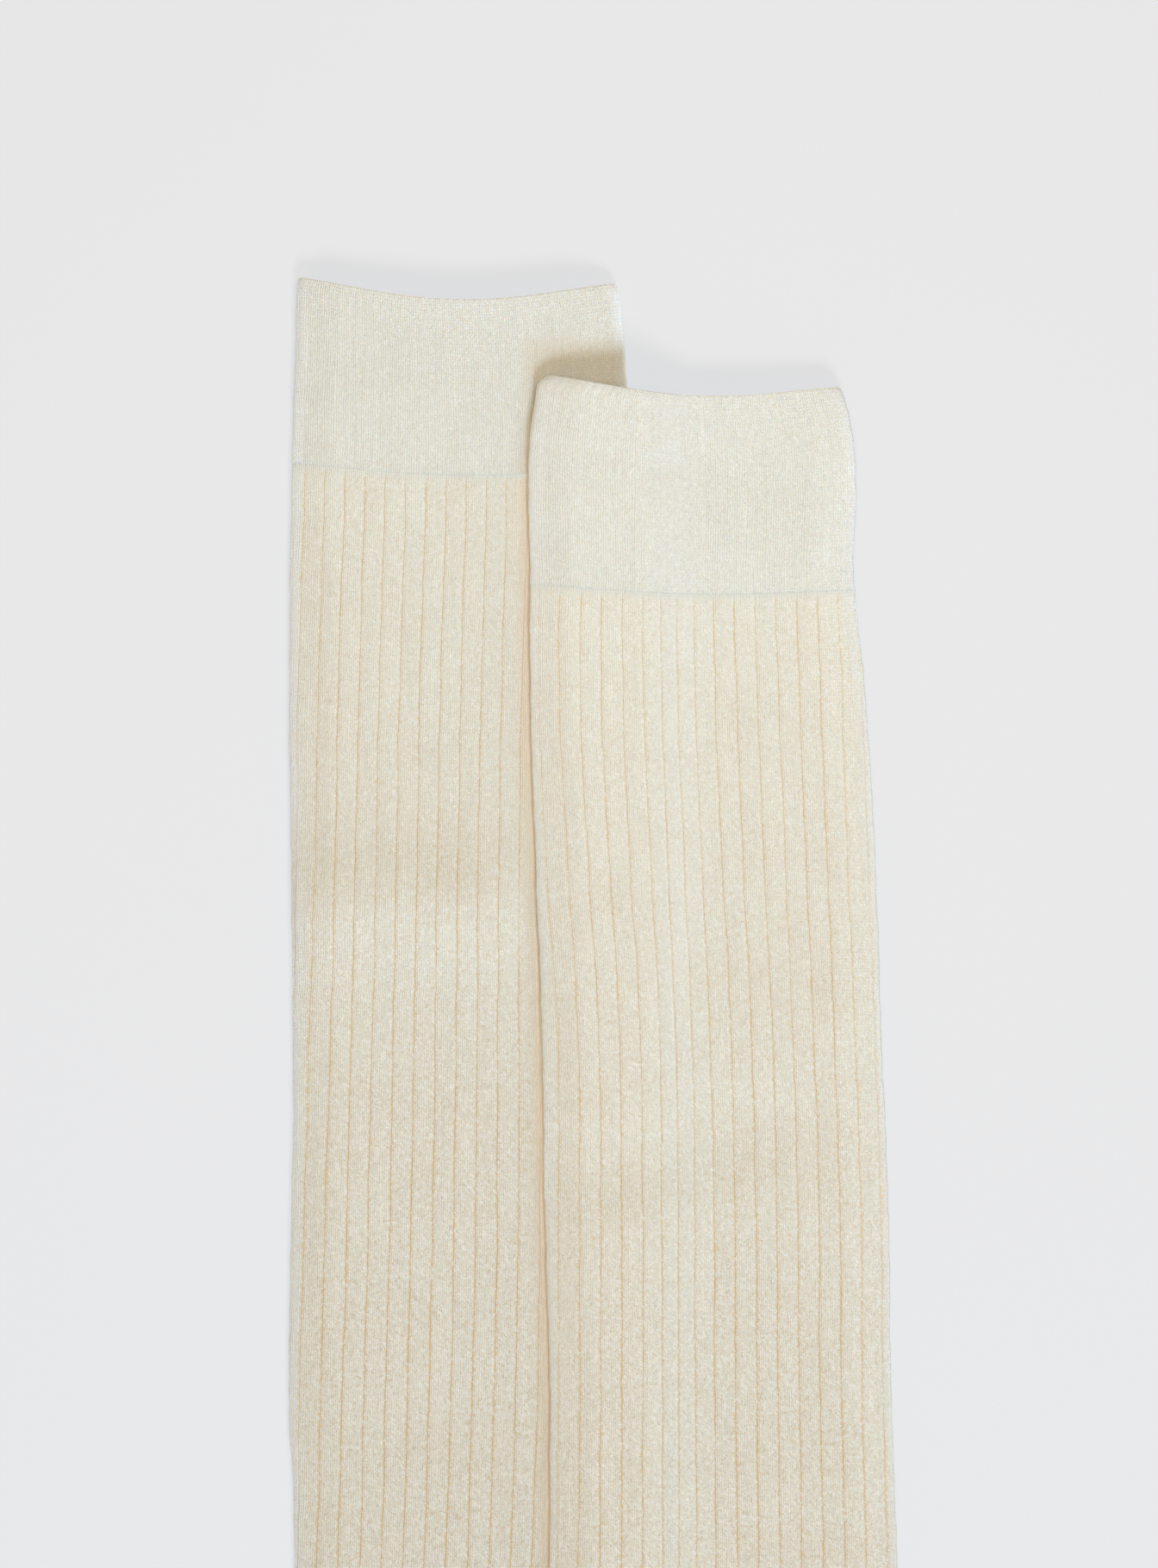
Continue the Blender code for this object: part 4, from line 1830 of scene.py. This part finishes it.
@dataclass(frozen=True)
class Nap:
    """Short loose fibres on the outer skin: lengths in metres, leans and bends in radians."""

    count: int = 25000
    at_folds: int = 15000
    at_mouth: int = 2500
    first: float = 0.0006
    toe_reach: float = 0.038
    mouth_first: float = 0.0003
    mouth_depth: float = 0.0015
    past_fold: float = 0.6
    fold_spread: float = 0.45
    shortest: float = 0.0005
    longest: float = 0.0013
    half_width: float = 0.000030
    middle_width: float = 0.8
    broader_at_folds: float = 1.5
    flattest: float = 1.45
    steepest: float = 0.75
    bend: float = 0.25
    curl: float = 0.8
    root_depth: float = 0.00005
    lowest: float = 0.0002
    step_along: float = 0.0004
    step_round: float = 0.06

    def build(self, form: SockForm, seed: int) -> tuple[Array, Array]:
        """The fibres as thin bent slivers of three triangles.

        Each fibre leans away from the skin's normal by a random angle in a random direction, and its tip
        leans further than its middle.

        Args:
            form: The sock's form.
            seed: The seed of the random numbers.

        Returns:
            Points and faces.
        """
        rng = np.random.default_rng(seed)
        folds = slice(self.count, self.count + self.at_folds)
        along, rib = self._places(form, rng, folds)
        total = len(along)
        root = form.surface(along, rib)
        down = form.surface(along + self.step_along, rib) - root
        down /= np.linalg.norm(down, axis=1, keepdims=True)
        normal = np.cross(down, form.surface(along, rib + self.step_round) - root) * form.sizes.side
        normal /= np.maximum(np.linalg.norm(normal, axis=1, keepdims=True), TINY)
        turn = rng.uniform(0, 2 * math.pi, (total, 1))
        way = np.cos(turn) * down + np.sin(turn) * np.cross(normal, down)
        flat = np.cross(normal, way)
        lean = rng.uniform(self.steepest, self.flattest, (total, 1))
        half = 0.5 * rng.uniform(self.shortest, self.longest, (total, 1))
        middle = root + half * (np.cos(lean) * normal + np.sin(lean) * way)
        curl = rng.uniform(-self.curl, self.curl, (total, 1))
        lean = lean + self.bend
        tip = middle + half * (np.cos(lean) * normal + np.sin(lean) * (way + curl * flat))
        root = root - normal * self.root_depth
        broad = flat * self.half_width
        broad[folds] *= self.broader_at_folds
        slim = self.middle_width * broad
        points = np.stack((root - broad, root + broad, middle - slim, middle + slim, tip), axis=1)
        points[..., 2] = np.maximum(points[..., 2], self.lowest)
        base = np.arange(total)[:, None, None] * points.shape[1]
        faces = base + np.array(((0, 1, 3), (0, 3, 2), (2, 3, 4)))
        return points.reshape(-1, 3), faces.reshape(-1, 3)

    def _places(self, form: SockForm, rng: np.random.Generator, folds: slice) -> tuple[Array, Array]:
        """Random places on the outer skin, above or just below the folds.

        More of them stand at the folds and round the mouth.

        Args:
            form: The sock's form.
            rng: The random numbers.
            folds: Which fibres stand at the folds.

        Returns:
            Distances from the cuff's edge, and rib numbers.
        """
        total = self.count + self.at_folds + self.at_mouth
        half_round = CLOTH.ribs_round / 2
        along = rng.uniform(self.first, CLOTH.toe_start + self.toe_reach, total)
        near_mouth = self.mouth_depth * rng.uniform(0, 1, self.at_mouth) ** 2
        along[-self.at_mouth :] = self.mouth_first + near_mouth
        rib = rng.uniform(-self.past_fold, half_round + self.past_fold, total)
        rib[folds] = half_round * rng.integers(0, 2, self.at_folds)
        rib[folds] += rng.normal(0, self.fold_spread, self.at_folds)
        return along, rib - form.station(along).shift


@dataclass
class SockBuilder:
    """Builds and dresses the pieces of one sock."""

    sizes: SockSizes
    form: SockForm
    finishes: dict[str, bpy.types.Material]

    columns_a_fine_rib = 6
    measured_columns = 120
    measured_rows = 60
    short_of_tip = 0.0005

    def patches(self, part: Part) -> list[Patch]:
        """The stretches of wall that make up a piece.

        Args:
            part: Which piece.

        Returns:
            Its patches. The foot has two: the instep beside the heel, and the whole tube beyond it.
        """
        ribs, cuff = CLOTH.ribs_round, self.sizes.cuff_depth
        first, last = CLOTH.heel_first_rib, CLOTH.heel_last_rib
        ankle, foot, toe = CLOTH.leg_length, CLOTH.foot_start, CLOTH.toe_start
        wide = rib_columns(0, ribs, RIB_PLACES, False)
        plain = rib_columns(0, ribs, PLAIN_PLACES, False)
        fine_count = CLOTH.fine_ribs_round * self.columns_a_fine_rib
        fine = np.arange(fine_count) * ribs / fine_count
        sole = rib_columns(first, last, PLAIN_PLACES, True)
        instep = rib_columns(last, first + ribs, RIB_PLACES, True)
        table = {
            Part.CUFF: [Patch(0.0, cuff, rows=48, inner_rows=26, ribs=fine, rolled_edge=True)],
            Part.LEG: [Patch(cuff, ankle, rows=180, inner_rows=40, ribs=wide)],
            Part.HEEL: [Patch(ankle, foot, rows=56, inner_rows=56, ribs=sole, is_round=False)],
            Part.FOOT: [
                Patch(ankle, foot, rows=44, inner_rows=44, ribs=instep, is_round=False),
                Patch(foot, toe, rows=56, inner_rows=16, ribs=wide),
            ],
            Part.TOE: [Patch(toe, CLOTH.tube_length, rows=48, inner_rows=20, ribs=plain, has_tip=True)],
        }
        return table[part]

    def flat_size(self, part: Part) -> tuple[float, float, float]:
        """The knitted piece's width round the tube, its length, and its area if laid flat.

        They are summed over a grid of points halfway through the wall.

        Args:
            part: Which piece.

        Returns:
            Width, length and area.
        """
        area, length, width = 0.0, 0.0, 0.0
        for patch in self.patches(part):
            ends = patch.ribs[-1] if not patch.is_round else patch.ribs[0] + CLOTH.ribs_round
            ribs = np.linspace(patch.ribs[0], ends, self.measured_columns)
            last = patch.end - self.short_of_tip * patch.has_tip
            along = np.linspace(patch.start, last, self.measured_rows)
            points = self.form.surface(along[:, None], ribs[None, :], CLOTH.wall / 2)
            down = np.diff(points, axis=0)
            around = np.diff(points, axis=1)
            area += float(np.linalg.norm(np.cross(down[:, 1:], around[1:]), axis=2).sum())
            length += float(np.linalg.norm(down, axis=2).sum(0).max())
            width = max(width, float(np.linalg.norm(around, axis=2).sum(1).max()))
        return width, length, min(area, width * length)

    def build_part(self, part: Part) -> bpy.types.Object:
        """Builds one piece, gives it its finish and sets it in the frame.

        Args:
            part: Which piece.

        Returns:
            The piece's object.
        """
        built = [patch.build(self.form) for patch in self.patches(part)]
        starts = np.cumsum([0] + [len(points) for points, _, _, _ in built[:-1]])
        points = np.concatenate([item[0] for item in built])
        faces = np.concatenate([item[1] + start for item, start in zip(built, starts)])
        uv = np.concatenate([item[2] for item in built])
        shades = {mask: np.concatenate([item[3][mask] for item in built]) for mask in built[0][3]}
        node = f"{self.sizes.name}_{part.value}"
        piece = make_object(f"{node}_knit", points, faces, uv.reshape(-1, 2), shades)
        piece.data.set_sharp_from_angle(angle=math.radians(60))
        self._dress(piece, FINISH_OF[part])
        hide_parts(node)
        return piece

    def build_nap(self, seed: int, finish: NapFinish) -> bpy.types.Object:
        """Builds the sock's loose fibres.

        Args:
            seed: The seed of the random numbers.
            finish: The fibres' finish.

        Returns:
            The fibres' object.
        """
        points, faces = Nap().build(self.form, seed)
        piece = make_object(f"{self.sizes.name}_nap", points, faces, np.zeros((faces.size, 2)), {})
        self._dress(piece, finish)
        return piece

    def _dress(self, piece: bpy.types.Object, finish: Union[KnitFinish, NapFinish]) -> None:
        """Gives a piece its finish and lets it ride on the pair's one body.

        Args:
            piece: The piece.
            finish: Its finish.
        """
        piece.data.materials.append(self.finishes[finish.name])
        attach(piece, "root")
        triangles = sum(len(polygon.vertices) - 2 for polygon in piece.data.polygons)
        log.info("%s: %d triangles", piece.name, triangles)

    def build(self, seed: int, nap_finish: NapFinish, rests_on: Sequence[str]) -> list[bpy.types.Object]:
        """Builds all pieces.

        Args:
            seed: The seed of the nap's random numbers.
            nap_finish: The nap's finish.
            rests_on: Names of the pieces that this sock lies on. Not used.

        Returns:
            The sock's pieces.
        """
        nap = self.build_nap(seed, nap_finish)
        pieces = [nap]
        for part in Part:
            piece = self.build_part(part)
            width, length, area = self.flat_size(part)
            log.info("%s: %.0f x %.0f mm, %.4f m2 flat", piece.name, width * 1000, length * 1000, area)
            pieces.append(piece)
        return pieces


# Floor, light and camera


@dataclass(frozen=True)
class Studio:
    """A pale light table, a soft key light from beyond the toes, and a camera straight above."""

    window_height: float = 0.4277
    view_x: float = -0.0040
    view_y: float = 0.1301
    camera_height: float = 4.0
    camera_sees: Span = (0.1, 20.0)
    sensor: float = 36.0
    floor_size: float = 6.0
    floor_glow: Colour = (0.561, 0.614, 0.670)
    painted_dimming: float = 0.20
    painted_dimming_reach: float = 0.3
    floor_colour: Colour = (0.218, 0.169, 0.126)
    floor_paler: float = 1.01
    key_elevation: float = math.radians(38.8)
    key_turn: float = math.radians(17)
    key_softness: float = math.radians(17)
    key_strength: float = 2.2
    key_colour: Colour = (0.74, 0.94, 1.24)
    box_size: float = 0.5
    box_place: tuple[float, float, float] = (0.05, 0.36, 0.60)
    box_strength: float = 1.9
    box_colour: Colour = (0.90, 1.0, 1.08)
    zenith: Colour = (0.385, 0.280, 0.125)
    horizon: Colour = (1.20, 1.10, 0.98)
    backdrop: Colour = (0.82, 0.82, 0.83)

    def build_floor(self) -> bpy.types.Object:
        """The floor: a plane that glows, with a painted dimming towards the cuffs, and takes a faint
        shadow.

        Returns:
            The floor's object.
        """
        half = self.floor_size / 2
        mesh = bpy.data.meshes.new("floor")
        corners = [(-half, -half, 0), (half, -half, 0), (half, half, 0), (-half, half, 0)]
        mesh.from_pydata(corners, [], [(0, 1, 2, 3)])
        floor = bpy.data.objects.new("floor", mesh)
        bpy.context.scene.collection.objects.link(floor)
        made, w, shader = new_material("light_table")
        position = w.coordinates("Object")
        cloud = w.ease(w.noise(position, scale=5.0, detail=1.0), low=0.3, high=0.7)
        paler = tuple(value * self.floor_paler for value in self.floor_colour)
        # Painted dimming of the floor's glow towards the cuffs, which offsets the soft box's brighter light
        # there.
        ahead = w.math("SUBTRACT", w.split(position)[1], self.view_y)
        ahead = w.math("MINIMUM", w.math("MAXIMUM", ahead, -self.painted_dimming_reach), self.painted_dimming_reach)
        glow = w.scaled(ahead, times=-self.painted_dimming, plus=1.0)
        even = w.node("ShaderNodeCombineColor")
        for socket in even.inputs[:3]:
            w.feed(socket, glow)
        inputs = {
            "Base Color": w.blend(cloud, self.floor_colour, paler),
            "Roughness": 1.0,
            "Specular IOR Level": 0.0,
            "Emission Color": w.blend(1.0, even.outputs[0], self.floor_glow, "MULTIPLY"),
            "Emission Strength": 1.0,
        }
        w.feed_all(shader, inputs)
        mesh.materials.append(made)
        return floor

    def build_lights(self) -> None:
        """A distant key light from beyond the toes, and a large soft box above the cuffs."""
        key = bpy.data.lights.new("key", "SUN")
        key.energy = self.key_strength
        key.angle = self.key_softness
        key.color = self.key_colour
        key_object = bpy.data.objects.new("key", key)
        key_object.rotation_euler = (math.pi / 2 - self.key_elevation, 0.0, self.key_turn)
        box = bpy.data.lights.new("soft_box", "AREA")
        box.shape = "DISK"
        box.size = self.box_size
        box.energy = self.box_strength
        box.color = self.box_colour
        box_object = bpy.data.objects.new("soft_box", box)
        box_object.location = self.box_place
        box_object.visible_camera = False
        for made in (key_object, box_object):
            bpy.context.scene.collection.objects.link(made)

    def build_sky(self) -> None:
        """An even pale sky, with a plain backdrop where the camera sees past the floor."""
        world = bpy.data.worlds.new("studio")
        bpy.context.scene.world = world
        world.use_nodes = True
        world.node_tree.nodes.clear()
        w = Wiring(world.node_tree)
        output = w.node("ShaderNodeOutputWorld")
        sky, seen = w.node("ShaderNodeBackground"), w.node("ShaderNodeBackground")
        direction = w.split(w.coordinates("Generated"))
        level = w.math("SUBTRACT", 1.0, w.math("ABSOLUTE", direction[2]))
        w.feed(sky.inputs["Color"], w.blend(w.product(level, level), self.zenith, self.horizon))
        w.feed(seen.inputs["Color"], self.backdrop)
        mixed = w.node("ShaderNodeMixShader")
        w.feed(mixed.inputs[0], w.node("ShaderNodeLightPath").outputs["Is Camera Ray"])
        w.feed(mixed.inputs[1], sky.outputs[0])
        w.feed(mixed.inputs[2], seen.outputs[0])
        w.feed(output.inputs["Surface"], mixed.outputs[0])

    def build_camera(self) -> bpy.types.Object:
        """A long lens straight above, so that the window's height on the floor is as given.

        Returns:
            The camera's object.
        """
        data = bpy.data.cameras.new("camera")
        data.sensor_fit = "VERTICAL"
        data.sensor_height = self.sensor
        data.sensor_width = self.sensor
        data.lens = self.sensor * self.camera_height / self.window_height
        data.clip_start, data.clip_end = self.camera_sees
        camera = bpy.data.objects.new("camera", data)
        camera.location = (self.view_x, self.view_y, self.camera_height)
        bpy.context.scene.collection.objects.link(camera)
        bpy.context.scene.camera = camera
        return camera

    def build(self) -> None:
        """Builds everything round the socks, and shows colours without a film curve."""
        self.build_floor()
        self.build_lights()
        self.build_sky()
        self.build_camera()
        bpy.context.scene.view_settings.view_transform = "Standard"
        bpy.context.scene.view_settings.look = "None"


def finishes_for(
    sizes: SockSizes, groups: KnitGroups, nap_finish: NapFinish
) -> dict[str, bpy.types.Material]:
    """One sock's materials, each named for the sock.

    Args:
        sizes: The sock's sizes.
        groups: The shared node groups.
        nap_finish: The loose fibres' finish.

    Returns:
        The materials, by their finish's name.
    """
    knits = (CUFF_FINISH, RIB_FINISH, PLAIN_FINISH)
    made = {finish.name: finish.material(groups, sizes) for finish in knits}
    made[nap_finish.name] = nap_finish.material()
    for name, material in made.items():
        material.name = f"{sizes.name}_{name}"
    return made


def main() -> None:
    """Loads the frame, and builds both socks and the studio."""
    logging.basicConfig(level=logging.INFO, format="%(name)s: %(message)s")
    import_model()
    groups = KnitGroups.make()
    nap_finish = NapFinish()
    left_form = SockForm(LEFT_SOCK, upper=RIGHT_SOCK)
    left = SockBuilder(LEFT_SOCK, left_form, finishes_for(LEFT_SOCK, groups, nap_finish))
    left_pieces = left.build(seed=11, nap_finish=nap_finish, rests_on=[])
    right_form = SockForm(RIGHT_SOCK, LowerSock(left_form.outline()))
    right = SockBuilder(RIGHT_SOCK, right_form, finishes_for(RIGHT_SOCK, groups, nap_finish))
    under_right = [piece.name for piece in left_pieces[1:]]
    right.build(seed=12, nap_finish=nap_finish, rests_on=under_right)
    Studio().build()
    log.info("sizes written")


if __name__ == "__main__":
    main()
